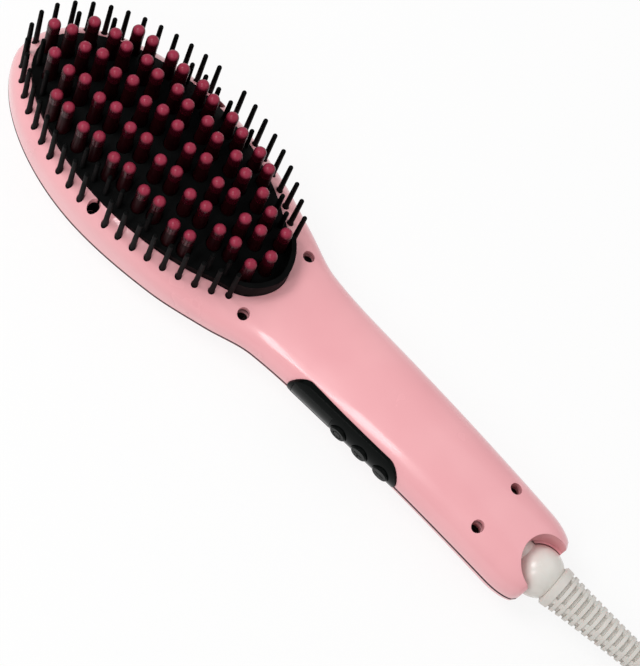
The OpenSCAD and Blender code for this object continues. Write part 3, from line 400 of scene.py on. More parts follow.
# Zinc plated small screws: bright, with the lines of their cold forming
SCREW_STEEL = Brushed("zinc_plated_steel", "#C3C4C6", "#AEB0B4", 2, 0.3, 0.08, edge_mm=0.12,
                      line_mm=0.2, along=(0.0, 0.0, 1.0))
# Drawn aluminium of the fuse's case: pale and bright, with drawn lines
FUSE_CASE = Brushed("drawn_aluminium", "#D4D5D7", "#C6C8CB", 4, 0.28, 0.05, edge_mm=0.1)
# Glass of the thermistor's bead: clear amber
BEAD_GLASS = Clear("amber_bead_glass", "#7C4A22", "#6A3E1C", 2, 0.08, 0.02, 0.6, 0.002, 0.05, 1.52,
                   through=0.5)
# Glass of the display: dark green grey, flat and shiny
DISPLAY_GLASS = Finish("display_glass", "#2C342F", "#272F2A", 5, 0.12, 0.02, 3.0, 0.002, 0.1, 1.52)
# Glass fibre board under solder mask: green, lighter over its tracks
BOARD_FR4 = Laminate("green_fr4_laminate", "#1E5A38", "#1A5032", 4, 0.35, 0.06, 0.4, 0.01, 0.1, 1.55)
# Moulded PBT of the switches: pale grey and dull
SWITCH_PBT = Finish("grey_pbt", "#C9C7C1", "#BDBBB4", 2, 0.45, 0.05, 0.25, 0.01, 0.1, 1.5)
# Moulded epoxy of the triac: black, with a fine dry grain
CHIP_EPOXY = Finish("black_epoxy", "#19191B", "#202022", 2, 0.55, 0.05, 0.2, 0.012, 0.15, 1.55)
# Dipped epoxy of the capacitor: amber, rounded and glossy as a drop
CAPACITOR_EPOXY = Finish("amber_dipped_epoxy", "#C98A22", "#BC7F1E", 3, 0.2, 0.04, 1.2, 0.01, 0.6, 1.55)
# Extruded silicone sleeves of the leads: dull, with light sinking in
RED_SILICONE = Waxy("red_silicone_sleeve", "#A32218", "#97201A", 5, 0.5, 0.06, 0.4, 0.02, 0.1, 1.41)
WHITE_SILICONE = Waxy("white_silicone_sleeve", "#E4E2DD", "#DAD8D2", 5, 0.5, 0.06, 0.4, 0.02, 0.1, 1.41)
# Rolled brass of the rings and their fingers: bright yellow, with fine lines
ROLLED_BRASS = Brushed("rolled_brass", "#CFA558", "#C0964B", 3, 0.26, 0.06, edge_mm=0.08)
# Nickel plated brass of the plug's pins: bright and slightly warm
NICKEL = Brushed("nickel_plated_brass", "#CFCDC8", "#C2C0BB", 6, 0.18, 0.05, edge_mm=0.15,
                 along=(0.0, 1.0, 0.0))


def put(name: str, data: bpy.types.ID) -> Piece:
    """Put a new object into the scene.

    Args:
        name: Name of the object.
        data: Its mesh, curve, camera or lamp.

    Returns:
        The object.
    """
    thing = bpy.data.objects.new(name, data)
    bpy.context.scene.collection.objects.link(thing)
    return thing


def make_mesh(name: str, solid: Solid, finishes: Sequence[Finish]) -> Piece:
    """Make an object from points in millimetres.

    Args:
        name: Name of the piece.
        solid: Corners in millimetres in the model's frame, and the corner numbers of each face.
        finishes: Finishes for the object's material slots.

    Returns:
        The new object.
    """
    mesh = bpy.data.meshes.new(name)
    mesh.from_pydata([[c * MM for c in p] for p in solid[0]], [], [list(f) for f in solid[1]])
    for finish in finishes:
        mesh.materials.append(finish.build())
    mesh.update()
    return put(name, mesh)


def prism(outline: Sequence[tuple[float, float]], low: float, high: float) -> Solid:
    """Build a closed upright prism on an outline.

    Args:
        outline: Corners of the outline, anticlockwise, in millimetres.
        low: Height of its foot.
        high: Height of its top.

    Returns:
        Its points and its faces.
    """
    n = len(outline)
    points = [(x, y, low) for x, y in outline] + [(x, y, high) for x, y in outline]
    faces: list[Face] = [(i, (i + 1) % n, n + (i + 1) % n, n + i) for i in range(n)]
    return points, faces + [tuple(range(n - 1, -1, -1)), tuple(range(n, 2 * n))]


def slab(x0: float, x1: float, half: float, low: float, high: float) -> Solid:
    """Build a box in millimetres.

    Args:
        x0: Where it starts along the brush.
        x1: Where it ends.
        half: Half its width, to either side of the middle.
        low: Height of its foot.
        high: Height of its top.

    Returns:
        Its points and its faces.
    """
    return prism([(x0, -half), (x1, -half), (x1, half), (x0, half)], low, high)


def lathe(profile: Sequence[tuple[float, float]], steps: int) -> Solid:
    """Turn a profile of radius and height about the vertical axis, and close both its ends with flat caps.

    Args:
        profile: Radius and height of each corner, from the foot up the outside to the top; no radius is 0.
        steps: Number of steps round.

    Returns:
        Its points and its faces.
    """
    m = len(profile)
    points = [(r * math.cos(a), r * math.sin(a), z)
              for a in (2 * math.pi * i / steps for i in range(steps)) for r, z in profile]
    faces: list[Face] = [
        (i * m + k, (i + 1) % steps * m + k, (i + 1) % steps * m + k + 1, i * m + k + 1)
        for i in range(steps) for k in range(m - 1)]
    return points, faces + [tuple(i * m for i in range(steps - 1, -1, -1)),
                            tuple(i * m + m - 1 for i in range(steps))]


def ball(centre: Point, radius: float, rings: int = 48, flat: float = 0.002) -> Solid:
    """Build a closed ball, whose poles are tiny flats.

    Args:
        centre: Its centre, in millimetres.
        radius: Its radius.
        rings: Steps from pole to pole.
        flat: Share of the radius that a pole's flat is wide.

    Returns:
        Its points and its faces.
    """
    profile = [(radius * max(math.sin(math.pi * i / rings), flat), -radius * math.cos(math.pi * i / rings))
               for i in range(rings + 1)]
    points, faces = lathe(profile, 2 * rings)
    return moved(points, Matrix.Translation(centre)), faces


def circle(x: float, y: float, radius: float, steps: int) -> list[tuple[float, float]]:
    """Return the corners of a circle, anticlockwise."""
    return [(x + radius * math.cos(2 * math.pi * i / steps), y + radius * math.sin(2 * math.pi * i / steps))
            for i in range(steps)]


def bent(value: float, power: float) -> float:
    """Return a sine or cosine bent for a superellipse of this power, its sign kept."""
    return math.copysign(abs(value) ** (2 / power), value)


def moved(points: Iterable[Sequence[float]], matrix: Matrix) -> list[Point]:
    """Return the points after a matrix in millimetres."""
    return [tuple(matrix @ Vector(p)) for p in points]


def joined(parts: Iterable[Solid]) -> Solid:
    """Put several point and face lists into one.

    Args:
        parts: The shapes.

    Returns:
        The points and the faces of all.
    """
    points: list[Point] = []
    faces: list[Face] = []
    for more_points, more_faces in parts:
        base = len(points)
        points.extend(more_points)
        faces.extend(tuple(base + i for i in f) for f in more_faces)
    return points, faces


def carve(piece: Piece, cutter: Solid, how: Cut = Cut.AWAY) -> None:
    """Cut a closed shape out of a piece, keep only what lies in it, or weld it on.

    Args:
        piece: The piece, whose mesh is exchanged.
        cutter: Points in millimetres and faces of the cutting shape.
        how: What the shape does.
    """
    tool = make_mesh("cutter", cutter, [])
    step = piece.modifiers.new("cut", "BOOLEAN")
    step.operation = how.value
    step.solver = "EXACT"
    step.object = tool
    bpy.context.view_layer.update()
    done = bpy.data.meshes.new_from_object(piece.evaluated_get(bpy.context.evaluated_depsgraph_get()))
    piece.modifiers.clear()
    old, used = piece.data, tool.data
    piece.data = done
    bpy.data.objects.remove(tool)
    bpy.data.meshes.remove(old)
    bpy.data.meshes.remove(used)


def sew(piece: Piece) -> None:
    """Join the corners that meet, drop loose ones and turn every face outwards.

    Args:
        piece: The piece, whose mesh is changed.
    """
    work = bmesh.new()
    work.from_mesh(piece.data)
    bmesh.ops.remove_doubles(work, verts=work.verts, dist=WELD_MM * MM)
    bmesh.ops.delete(work, geom=[v for v in work.verts if not v.link_faces], context="VERTS")
    bmesh.ops.recalc_face_normals(work, faces=work.faces)
    open_edges = sum(1 for e in work.edges if len(e.link_faces) != 2)
    work.to_mesh(piece.data)
    work.free()
    LOG.info("%s has %d faces and %d open edges", piece.name, len(piece.data.polygons), open_edges)


def solid_of(piece: Piece) -> Solid:
    """Take a scratch piece apart, and remove it.

    Args:
        piece: The scratch piece.

    Returns:
        Its points in millimetres and its faces.
    """
    mesh = piece.data
    points = [tuple(c / MM for c in v.co) for v in mesh.vertices]
    faces = [tuple(f.vertices) for f in mesh.polygons]
    bpy.data.objects.remove(piece)
    bpy.data.meshes.remove(mesh)
    return points, faces


def curve(keys: Keys, s: float) -> float:
    """Read a smooth curve through keys.

    Args:
        keys: Stations in rising order, each with its value.
        s: Station to read at.

    Returns:
        The value there.
    """
    i = 0
    while i < len(keys) - 2 and s >= keys[i + 1][0]:
        i += 1
    h = keys[i + 1][0] - keys[i][0]
    t = (s - keys[i][0]) / h

    def lean(k: int) -> float:
        """Return the slope at a key."""
        a, b = max(k - 1, 0), min(k + 1, len(keys) - 1)
        return (keys[b][1] - keys[a][1]) / (keys[b][0] - keys[a][0])

    return (keys[i][1] * (1 + 2 * t) * (1 - t) ** 2 + keys[i + 1][1] * t * t * (3 - 2 * t)
            + h * (lean(i) * t * (1 - t) ** 2 - lean(i + 1) * t * t * (1 - t)))


@dataclass(frozen=True)
class HousingForm:
    """Outline, heights and sections of the housing in millimetres; stations count from its nose."""

    body_l: float = 262.0
    mid: float = 133.867
    head_w: float = 68.4
    head_mid: float = 66.0
    neck_at: float = 138.0
    neck_w: float = 41.6
    grip_w: float = 37.2
    end_w: float = 33.0
    head_z: float = 26.5
    tip_z: float = 20.5
    neck_z: float = 24.0
    grip_z: float = 29.0
    parting_z: float = 9.5
    swivel_z: float = 13.1
    wall: float = 2.2
    end_round: float = 12.0
    end_least: float = 0.76         # share of the section left at the very end
    nose_l: float = 13.0
    nose_power: float = 0.55        # how full the head's outline is at the nose
    nose_least: float = 0.004
    nose_rest: float = 0.01
    ring_at: float = 4.5
    ring_l: float = 124.4
    ring_w: float = 63.0
    ring_power: float = 1.87
    ring_share: float = 0.93        # widest share of the section that the ring's edge may take
    base_inset: float = 3.4
    lip_inset: float = 0.4
    lip_from: float = 138.0         # degrees round the mouth where it starts to widen towards the neck
    lip_over: float = 20.0
    back_power: float = 2.1
    seam: float = 0.15              # from the parting line to each half's lip
    wall_w: float = 12.0            # half width and height under which the wall thins
    wall_h: float = 9.0
    margin: float = 0.02            # how far from an end or a lip the skin's direction is read

    @property
    def ring_mid(self) -> float:
        """Station of the middle of the comb's ring."""
        return self.ring_at + self.ring_l / 2

    def end_fade(self, s: float) -> float:
        """Return how far the section has shrunk in the rounded end of the handle."""
        t = max(0.0, (s - self.body_l + self.end_round) / self.end_round)
        return self.end_least + (1 - self.end_least) * math.sqrt(max(0.0, 1 - t * t))

    def half_w(self, s: float) -> float:
        """Read the half width.

        Args:
            s: Station.

        Returns:
            The half width there.
        """
        run = self.neck_at - self.head_mid

        def shoulder(f: float, g: float) -> tuple[float, float]:
            """Return a key between the head's width and the neck's."""
            return self.head_mid + f * run, (self.head_w - g * (self.head_w - self.neck_w)) / 2

        if s < self.head_mid:
            round_off = max(self.nose_least, 1 - (1 - s / self.head_mid) ** 2)
            width = self.head_w / 2 * round_off ** self.nose_power
        else:
            width = curve(((self.head_mid - 0.44 * run, shoulder(0.44, 0.2)[1]), shoulder(0, 0),
                           shoulder(0.44, 0.2), shoulder(0.75, 0.6), (self.neck_at, self.neck_w / 2),
                           (self.neck_at + 0.35 * (self.body_l - self.neck_at), self.grip_w / 2),
                           (self.body_l, self.end_w / 2)), s)
        return width * self.end_fade(s)

    def front_z(self, s: float) -> float:
        """Read the height of the front face.

        Args:
            s: Station.

        Returns:
            The height there.
        """
        end_z = 2 * self.swivel_z - 0.2
        return curve(((0, self.tip_z), (20, 0.45 * self.tip_z + 0.55 * self.head_z), (57, self.head_z - 0.1),
                      (90, self.head_z - 0.4), (self.neck_at - 18, self.neck_z - 0.2),
                      (self.neck_at, self.neck_z + 0.3),
                      (self.neck_at + 42, (self.neck_z + self.grip_z) / 2 + 1.4),
                      (self.neck_at + 67, self.grip_z), (self.body_l - 27, self.grip_z - 0.8),
                      (self.body_l, end_z)), s)

    def back_z(self, s: float) -> float:
        """Read the height of the back, a little below the table where it rests flat.

        Args:
            s: Station.

        Returns:
            The height there.
        """
        return curve(((0, 1.4), (24, 0.2), (46, -0.3), (70, 0.2), (100, 1.7), (self.neck_at, 4),
                      (self.neck_at + 37, 4.5), (self.neck_at + 67, 3.8), (self.body_l - 27, 1.6),
                      (self.body_l - 12, -0.3), (self.body_l, -0.5)), s)

    def part_z(self, s: float) -> float:
        """Read the height of the parting line.

        Args:
            s: Station.

        Returns:
            The height there.
        """
        return curve(((0, self.parting_z - 0.6), (30, self.parting_z - 0.3), (66, self.parting_z),
                      (self.neck_at, self.parting_z + 3.2), (self.neck_at + 42, self.parting_z + 5.5),
                      (self.neck_at + 67, self.parting_z + 6.2), (self.body_l - 27, self.parting_z + 5.3),
                      (self.body_l, self.swivel_z - 0.1)), s)

    def ring_w_at(self, s: float) -> float:
        """Return the half width of the comb's ring."""
        t = abs(s - self.ring_mid) * 2 / self.ring_l
        return 0.0 if t >= 1 else self.ring_w / 2 * (1 - t ** self.ring_power) ** (1 / self.ring_power)

    def power(self, s: float, side: Side) -> float:
        """Read how square the section is: 2 is an ellipse, more is squarer.

        Args:
            s: Station.
            side: Which half.

        Returns:
            The power of its superellipse.
        """
        if side is Side.REAR:
            return self.back_power
        return curve(((0, 3.4), (40, 4), (100, 4), (self.neck_at + 10, 2.7), (self.body_l, 2.6)), s)

    def height(self, s: float, side: Side) -> float:
        """Read how far the section reaches above or below the parting line.

        Args:
            s: Station.
            side: Which half.

        Returns:
            The height of the half section.
        """
        fade = self.end_fade(s)
        if s < self.nose_l:
            fade *= math.sqrt(max(self.nose_rest, 1 - (1 - s / self.nose_l) ** 2))
        if side is Side.REAR:
            return (self.part_z(s) - self.seam - self.back_z(s)) * fade
        p, w = self.power(s, side), self.half_w(s)
        y = min(self.ring_w_at(s), self.ring_share * w)
        return (self.front_z(s) - self.part_z(s)) / (1 - (y / w) ** p) ** (1 / p) * fade

    def inside(self, s: float, y: float, z: float, side: Side) -> float:
        """Read a value that grows outwards through the skin, and is 1 on it.

        Args:
            s: Station.
            y: Distance from the middle.
            z: Height.
            side: Which half.

        Returns:
            The value.
        """
        s = min(max(s, self.margin), self.body_l)
        p = self.power(s, side)
        return (abs(y) / self.half_w(s)) ** p + (abs(z - self.part_z(s)) / self.height(s, side)) ** p

    def normal(self, x: float, y: float, z: float, side: Side) -> Vector:
        """Work out the true direction of the skin at a point of the model's frame.

        Args:
            x: Place along the brush, in millimetres.
            y: Distance from the middle.
            z: Height.
            side: Which half.

        Returns:
            The direction outwards, of length 1.
        """
        s, d = x + self.mid, self.margin
        z = max(z, self.part_z(s) + d) if side is Side.FRONT else min(z, self.part_z(s) - d)
        grad = Vector((self.inside(s + d, y, z, side) - self.inside(s - d, y, z, side),
                       self.inside(s, y + d, z, side) - self.inside(s, y - d, z, side),
                       self.inside(s, y, z + d, side) - self.inside(s, y, z - d, side)))
        return grad.normalized() if grad.length > 1e-9 else Vector((0, 0, side.value))

    def section(self, s: float, side: Side, inset: float, steps: int) -> list[Point]:
        """Build half a section.

        Args:
            s: Station.
            side: Which half.
            inset: Distance of the inner skin from the outer one, 0 for the outer one.
            steps: Steps along the half section.

        Returns:
            Points from the +Y lip over the middle to the -Y lip.
        """
        w = self.half_w(s)
        h = self.height(s, side)
        w *= 1 - inset / max(w, self.wall_w)
        h *= 1 - inset / max(h, self.wall_h)
        p = self.power(s, side)
        x = inset + s * (self.body_l - 2 * inset) / self.body_l - self.mid
        points = []
        for k in range(steps + 1):
            a = math.pi * k / steps
            points.append((x, w * bent(math.cos(a), p),
                           self.part_z(s) + side.value * h * bent(max(0.0, math.sin(a)), p)))
        return points

    def egg(self, grow: float) -> list[tuple[float, float]]:
        """Build the outline of the comb pad's mouth.

        Args:
            grow: How many millimetres larger than the pad it is.

        Returns:
            Its corners, anticlockwise.
        """
        points = []
        for a in range(0, 360, 2):
            b = 360 - a if a > 180 else a
            g = min(1.0, max(0.0, (b - self.lip_from) / self.lip_over))
            inset = self.base_inset - grow + (self.lip_inset - self.base_inset) * g * g * (3 - 2 * g)
            c, q = (bent(turn(math.radians(a)), self.ring_power) for turn in (math.cos, math.sin))
            points.append((self.ring_mid - (self.ring_l / 2 - inset) * c - self.mid,
                           (self.ring_w / 2 - inset) * q))
        return points[::-1]


FORM = HousingForm()


@dataclass
class Dressed:
    """A sub-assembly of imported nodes, whose shapes are the real ones and only need their finishes."""

    finishes: dict[str, Finish] = field(default_factory=dict)

    def build(self) -> None:
        """Give each node its finish."""
        for name, finish in self.finishes.items():
            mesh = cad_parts[name].data
            material = finish.build()
            mesh.materials.clear()
            mesh.materials.append(material)
            for face in mesh.polygons:
                face.material_index = 0
            LOG.info("%s is dressed in %s", name, finish.name)


@dataclass
class Shell:
    """One half of the pink housing, as a smooth skin with its openings cut in; sizes in millimetres."""

    side: Side
    stations: int = 150
    even: float = 0.7               # share of the length in which the stations lie evenly
    gathered: float = 0.15          # half the share in which they gather at the ends
    steps: int = 64
    lip: float = 0.6                # chamfer of the lip, which shades the seam
    lip_most: float = 0.3           # most that the chamfer takes of a narrow section's half width
    lip_rise: float = 0.8           # most that it takes of the section's first step up
    recess_d: float = 4.4
    boss_d: float = 6.0
    rim_boss_h: float = 5.2         # height of the bosses under the head's rim, the outermost ones
    rim_from: float = 25.0
    boss_under: float = 5.5         # how far the other bosses end below the front face
    seat: float = 4.0
    pin_d: float = 2.1
    pin_hole_d: float = 2.6
    pin_pitch: float = 6.2
    pins_a_side: int = 21
    pin_gap: float = 0.4            # least gap between a pin and a screw's recess
    pins_end: float = 4.0           # stretch of the ring without pins at the neck
    mouth_gap: float = 0.15
    screws: tuple[Point, ...] = ((65.7, 30.4, 3.0), (127.0, 16.2, 0.0), (235.0, 9.9, 0.0))
    panel_at: float = 180.0
    panel_l: float = 51.3
    panel_h: float = 14.8
    panel_face: float = 19.1468
    panel_z: float = 16.5
    panel_turn: float = 1.76573
    panel_tilt: float = 2.50167
    ball_at: float = 260.5
    ball_r: float = 9.3
    ball_gap: float = 0.3
    journal_r: float = 5.4
    end_dip: float = 6.0
    end_from: float = 247.5         # station from which the end of the handle is solid
    end_gap: float = 0.45
    end_l: float = 18.0             # length over which its solid is built
    end_steps: int = 40
    end_power: float = 1.5          # how closely the steps gather towards the end
    bush_r: float = 9.35
    bush_to: float = 248.6
    bore_from: float = -25.0        # along the swivel's axis, from the ball's centre
    cup_r: float = 9.9              # upright cut round the ball
    cup_floor: float = 3.0          # height of that cut's floor above the ball's centre
    cup_top: float = 45.0
    cup_past: float = 20.0          # how far it runs from the ball's centre past the handle's end
    skin_off: float = 0.015         # how far from 1 the skin's value may be for a corner on it
    skin_turn: float = 0.8          # least agreement of a face with the skin's direction
    sharp: float = 32.0             # degrees from which an edge shows as sharp
    seam_reach: float = 0.9         # share of the chamfer that takes the seam's finish
    seam_band: float = 1.0          # how far in from the skin the seam's faces lie
    seam_up: float = 0.35           # least upright share of a chamfer's face

    def skin(self) -> Piece:
        """Build the closed skin of even thickness, with its lip chamfered.

        Returns:
            The skin as a new piece.
        """
        n, m = self.steps + 3, self.stations + 1
        up = self.side.value
        where = [FORM.body_l * (self.even * t + self.gathered * (1 - math.cos(math.pi * t)))
                 for t in (i / self.stations for i in range(m))]
        outer: list[Point] = []
        inner: list[Point] = []
        for s in where:
            points, inside = ([(x, y, z + up * FORM.seam)
                               for x, y, z in FORM.section(s, self.side, inset, self.steps)]
                              for inset in (0, FORM.wall))
            first, last = points[0], points[-1]
            tuck = min(self.lip, abs(first[1]) * self.lip_most)
            rise = up * min(tuck, self.lip_rise * abs(points[1][2] - first[2]))
            outer += [(first[0], first[1] - tuck, first[2]), (first[0], first[1], first[2] + rise),
                      *points[1:-1], (last[0], last[1], last[2] + rise), (last[0], last[1] + tuck, last[2])]
            inner += [inside[0], *inside, inside[-1]]
        base = len(outer)
        faces: list[Face] = []
        for i in range(m - 1):
            a, b = i * n, (i + 1) * n
            faces += [(a + k, a + k + 1, b + k + 1, b + k) for k in range(n - 1)]
            faces += [(base + a + k, base + b + k, base + b + k + 1, base + a + k + 1)
                      for k in range(1, n - 2)]
            faces += [(a, b, base + b + 1, base + a + 1),
                      (a + n - 1, base + a + n - 2, base + b + n - 2, b + n - 1)]
        for row in (0, (m - 1) * n):
            faces += [tuple(range(row, row + n)), tuple(range(base + row + 1, base + row + n - 1)),
                      (row, row + n - 1, base + row + n - 2, base + row + 1)]
        # the second slot holds the painted seam shade, a dull grey standing in for the shadow in the parting
        # line
        piece = make_mesh(f"{self.side.name.lower()}_housing", (outer + inner, faces), [PINK_ABS, PAINTED_SEAM_SHADE])
        sew(piece)
        return piece

    def pin_places(self) -> list[tuple[float, float]]:
        """Place the edge pins at equal steps along the ring, clear of the screws.

        Returns:
            The station and the side of each pin.
        """
        path = [(FORM.ring_mid - FORM.ring_l / 2 * bent(math.cos(a), FORM.ring_power),
                 FORM.ring_w / 2 * bent(abs(math.sin(a)), FORM.ring_power))
                for a in (math.radians(i) for i in range(181))]
        sums = [0.0]
        for a, b in zip(path, path[1:]):
            sums.append(sums[-1] + math.dist(a, b))
        places = [path[0]]
        for k in range(1, self.pins_a_side + 1):
            run = k * self.pin_pitch
            if run >= sums[-1] - self.pins_end:
                break
            i = next(i for i in range(len(sums) - 1) if sums[i + 1] > run)
            f = (run - sums[i]) / (sums[i + 1] - sums[i])
            p = tuple(path[i][c] + f * (path[i + 1][c] - path[i][c]) for c in (0, 1))
            clear = self.recess_d / 2 + self.pin_d / 2 + self.pin_gap
            if all(math.dist(p, q[:2]) >= clear for q in self.screws):
                places += [p, (p[0], -p[1])]
        return places

    def screw_feet(self) -> list[Point]:
        """Return the foot of each screw boss in the model's frame."""
        return [(s - FORM.mid, y * sign, FORM.part_z(s) + lift)
                for s, y, lift in self.screws for sign in (1, -1)]

    def panel_frame(self) -> Matrix:
        """Work out the panel's own frame, whose Y points out of the handle.

        Returns:
            The matrix from it to the model's frame.
        """
        return (Matrix.Diagonal((1, -1, 1, 1))
                @ Matrix.Translation((self.panel_at - FORM.mid, self.panel_face, self.panel_z))
                @ Matrix.Rotation(math.radians(-self.panel_turn), 4, "Z")
                @ Matrix.Rotation(math.radians(-self.panel_tilt), 4, "Y"))

    def panel_slot(self, depth: float = 7.0, proud: float = 2.0, steps: int = 24) -> Solid:
        """Build the shape of the panel's opening.

        Args:
            depth: How deep it is cut behind the panel's face.
            proud: How far the cutting shape stands out of the face.
            steps: Steps round each of its ends.

        Returns:
            Its points and its faces.
        """
        half, r = (self.panel_l - self.panel_h) / 2, self.panel_h / 2
        outline = [(end * (half + r * math.cos(a)), end * r * math.sin(a))
                   for end in (1, -1) for a in (math.pi * (i / steps - 0.5) for i in range(steps + 1))]
        points, faces = prism(outline, -depth, proud)
        upright = Matrix(((1, 0, 0, 0), (0, 0, 1, 0), (0, 1, 0, 0), (0, 0, 0, 1)))
        return moved(points, self.panel_frame() @ upright), faces

    def swivel_frame(self) -> Matrix:
        """Return the matrix that lays an upright shape along the swivel's axis, from the ball's centre on."""
        return (Matrix.Translation((self.ball_at - FORM.mid, 0, FORM.swivel_z))
                @ Matrix.Rotation(math.radians(90 + self.end_dip), 4, "Y"))

    def end_block(self) -> Solid:
        """Build the solid end of this half of the handle, in which the ball sits.

        Returns:
            Its points and its faces.
        """
        up = self.side.value
        rows = [[(x, y, z + up * self.end_gap)
                 for x, y, z in FORM.section(s, self.side, FORM.wall / 2, self.steps)]
                for s in (FORM.body_l - self.end_l * (1 - i / self.end_steps) ** self.end_power
                          for i in range(self.end_steps + 1))]
        n, m = self.steps + 1, len(rows)
        faces: list[Face] = []
        for a, b in ((i * n, (i + 1) * n) for i in range(m - 1)):
            faces += [(a + k, a + k + 1, b + k + 1, b + k) for k in range(n - 1)]
            faces.append((a, b, b + n - 1, a + n - 1))
        faces += [tuple(range(n)), tuple(range((m - 1) * n, m * n))]
        piece = make_mesh("end_block", ([p for row in rows for p in row], faces), [])
        sew(piece)
        clear = slab(self.end_from - FORM.mid, FORM.body_l + 5 - FORM.mid, 30, -30, TALL_MM)
        carve(piece, clear, Cut.KEEP)
        return solid_of(piece)

    def mouth(self) -> list[Solid]:
        """Build the bores round the bush and the ball's neck, and the ball's own room.

        Returns:
            The three shapes to cut.
        """
        centre = (self.ball_at - FORM.mid, 0.0, FORM.swivel_z)
        bores = ((self.bush_r, self.bush_to - self.ball_at), (self.journal_r + self.ball_gap, 0.0))
        turned = [lathe([(r, self.bore_from), (r, end)], 96) for r, end in bores]
        return [(moved(points, self.swivel_frame()), faces) for points, faces in turned] + [
            ball(centre, self.ball_r + self.ball_gap)]

    def window(self) -> Solid:
        """Build the upright cut round the ball, open to the handle's end.

        Returns:
            Its points and its faces.
        """
        x, r = self.ball_at - FORM.mid, self.cup_r
        outline = [(x - r * math.sin(a), r * math.cos(a)) for a in (math.pi * i / 48 for i in range(49))]
        far = x + self.cup_past
        return prism([*outline, (far, -r), (far, r)], FORM.swivel_z + self.cup_floor, self.cup_top)

    def build(self) -> Piece:
        """Make the half with its openings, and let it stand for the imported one.

        Returns:
            The piece.
        """
        piece = self.skin()
        carve(piece, self.end_block(), Cut.ADD)
        if self.side is Side.FRONT:
            for x, y, z in self.screw_feet():
                top = (self.rim_boss_h if abs(y) > self.rim_from
                       else FORM.front_z(x + FORM.mid) - z - self.boss_under)
                carve(piece, prism(circle(x, y, self.boss_d / 2, 32), z + FORM.seam, z + top), Cut.ADD)
            carve(piece, prism(FORM.egg(self.mouth_gap), 0, TALL_MM))
            carve(piece, joined(prism(circle(s - FORM.mid, y, self.pin_hole_d / 2, 16), 0, TALL_MM)
                                for s, y in self.pin_places()))
            carve(piece, joined(prism(circle(x, y, self.recess_d / 2, 40), z + self.seat, TALL_MM)
                                for x, y, z in self.screw_feet()))
            carve(piece, self.window())
        else:
            # The back rests on the table with a small flat
            carve(piece, slab(-140, 140, 50, -20, 0))
        carve(piece, self.panel_slot())
        for part in self.mouth():
            carve(piece, part)
        self.shade(piece)
        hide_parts(f"{self.side.name.lower()}_shell")
        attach(piece, Body.HOUSING.value)
        return piece

    def in_seam(self, face: bpy.types.MeshPolygon) -> bool:
        """Tell whether a face lies in the chamfer or the lip at the parting line, which takes the painted
        seam shade.

        Args:
            face: Face of the half.

        Returns:
            True if it does.
        """
        x, y, z = (c / MM for c in face.center)
        s = min(max(x + FORM.mid, FORM.margin), FORM.body_l)
        rise = abs(z - FORM.part_z(s))
        if rise > FORM.seam + self.lip * self.seam_reach or abs(y) < FORM.half_w(s) - self.seam_band:
            return False
        return abs(face.normal.z) > self.seam_up or rise < FORM.seam + 0.05

    def shade(self, piece: Piece) -> None:
        """Give the outer skin its true directions, so that its gloss runs smoothly up to each cut, and give
        the seam's faces the painted seam shade.

        Args:
            piece: The half, with its openings cut.
        """
        mesh = piece.data
        for face in mesh.polygons:
            face.use_smooth = True
            # faces of the seam take the painted seam shade; all others take the pink
            face.material_index = int(self.in_seam(face))
        mesh.set_sharp_from_angle(angle=math.radians(self.sharp))
        lift = self.side.value * FORM.seam
        around: dict[int, Vector] = {}
        for v in mesh.vertices:
            x, y, z = (c / MM for c in v.co)
            if 1.5 * FORM.margin < x + FORM.mid < FORM.body_l - 1.5 * FORM.margin:
                if abs(FORM.inside(x + FORM.mid, y, z - lift, self.side) - 1) < self.skin_off:
                    around[v.index] = FORM.normal(x, y, z - lift, self.side)
        ways = [Vector((0, 0, 0))] * len(mesh.loops)
        outside = 0
        for face in mesh.polygons:
            if all(v in around for v in face.vertices):
                middle = sum((around[v] for v in face.vertices), Vector())
                if middle.dot(face.normal) > self.skin_turn * middle.length:
                    outside += 1
                    for i in face.loop_indices:
                        ways[i] = around[mesh.loops[i].vertex_index]
        mesh.normals_split_custom_set(ways)
        LOG.info("%s: %d faces, %d of them in the outer skin", piece.name, len(mesh.polygons), outside)


@dataclass
class CombPad(Dressed):
    """Black comb, its domed base and the heated plate with its tipped teeth."""

    finishes: dict[str, Finish] = field(default_factory=lambda: {
        "edge_comb": BLACK_PA, "comb_base": BLACK_PA, "heater_plate": COATED_PLATE, "tooth_tips": RED_PBT})


@dataclass
class ControlPanel(Dressed):
    """Side panel with its window, its buttons and the electronics behind it."""

    finishes: dict[str, Finish] = field(default_factory=lambda: {
        "control_panel": PANEL_PC, "display_window": WINDOW_PMMA, "power_button": BUTTON_ABS,
        "plus_button": BUTTON_ABS, "minus_button": BUTTON_ABS, "lcd_module": DISPLAY_GLASS,
        "control_board": BOARD_FR4, "board_screws": SCREW_STEEL, "tact_switches": SWITCH_PBT,
        "triac": CHIP_EPOXY, "film_capacitor": CAPACITOR_EPOXY, "supply_leads": WHITE_SILICONE})


@dataclass
class HeaterPack(Dressed):
    """Heating element with its clamp, its sensors, its shield and its leads."""

    finishes: dict[str, Finish] = field(default_factory=lambda: {
        "heating_element": ALUMINA, "insulation_sheet": MICA, "heater_clamp": SPRING_STEEL,
        "clamp_screws": SCREW_STEEL, "thermal_fuse": FUSE_CASE, "thermistor": BEAD_GLASS,
        "heat_shield": SHIELD_PPS, "shield_screws": SCREW_STEEL, "housing_screws": BLACK_STEEL_PAINTED_SHADE,
        "heater_leads": RED_SILICONE})


@dataclass
class Swivel(Dressed):
    """Ball, bush and sliding contacts at the end of the handle, and the ribbed boot on the ball."""

    finishes: dict[str, Finish] = field(default_factory=lambda: {
        "swivel_ball": BALL_ABS, "swivel_bush": ACETAL, "swivel_collar": ACETAL, "slip_rings": ROLLED_BRASS,
        "contact_block": SHIELD_PPS, "contact_fingers": ROLLED_BRASS, "strain_relief": SOFT_PVC})


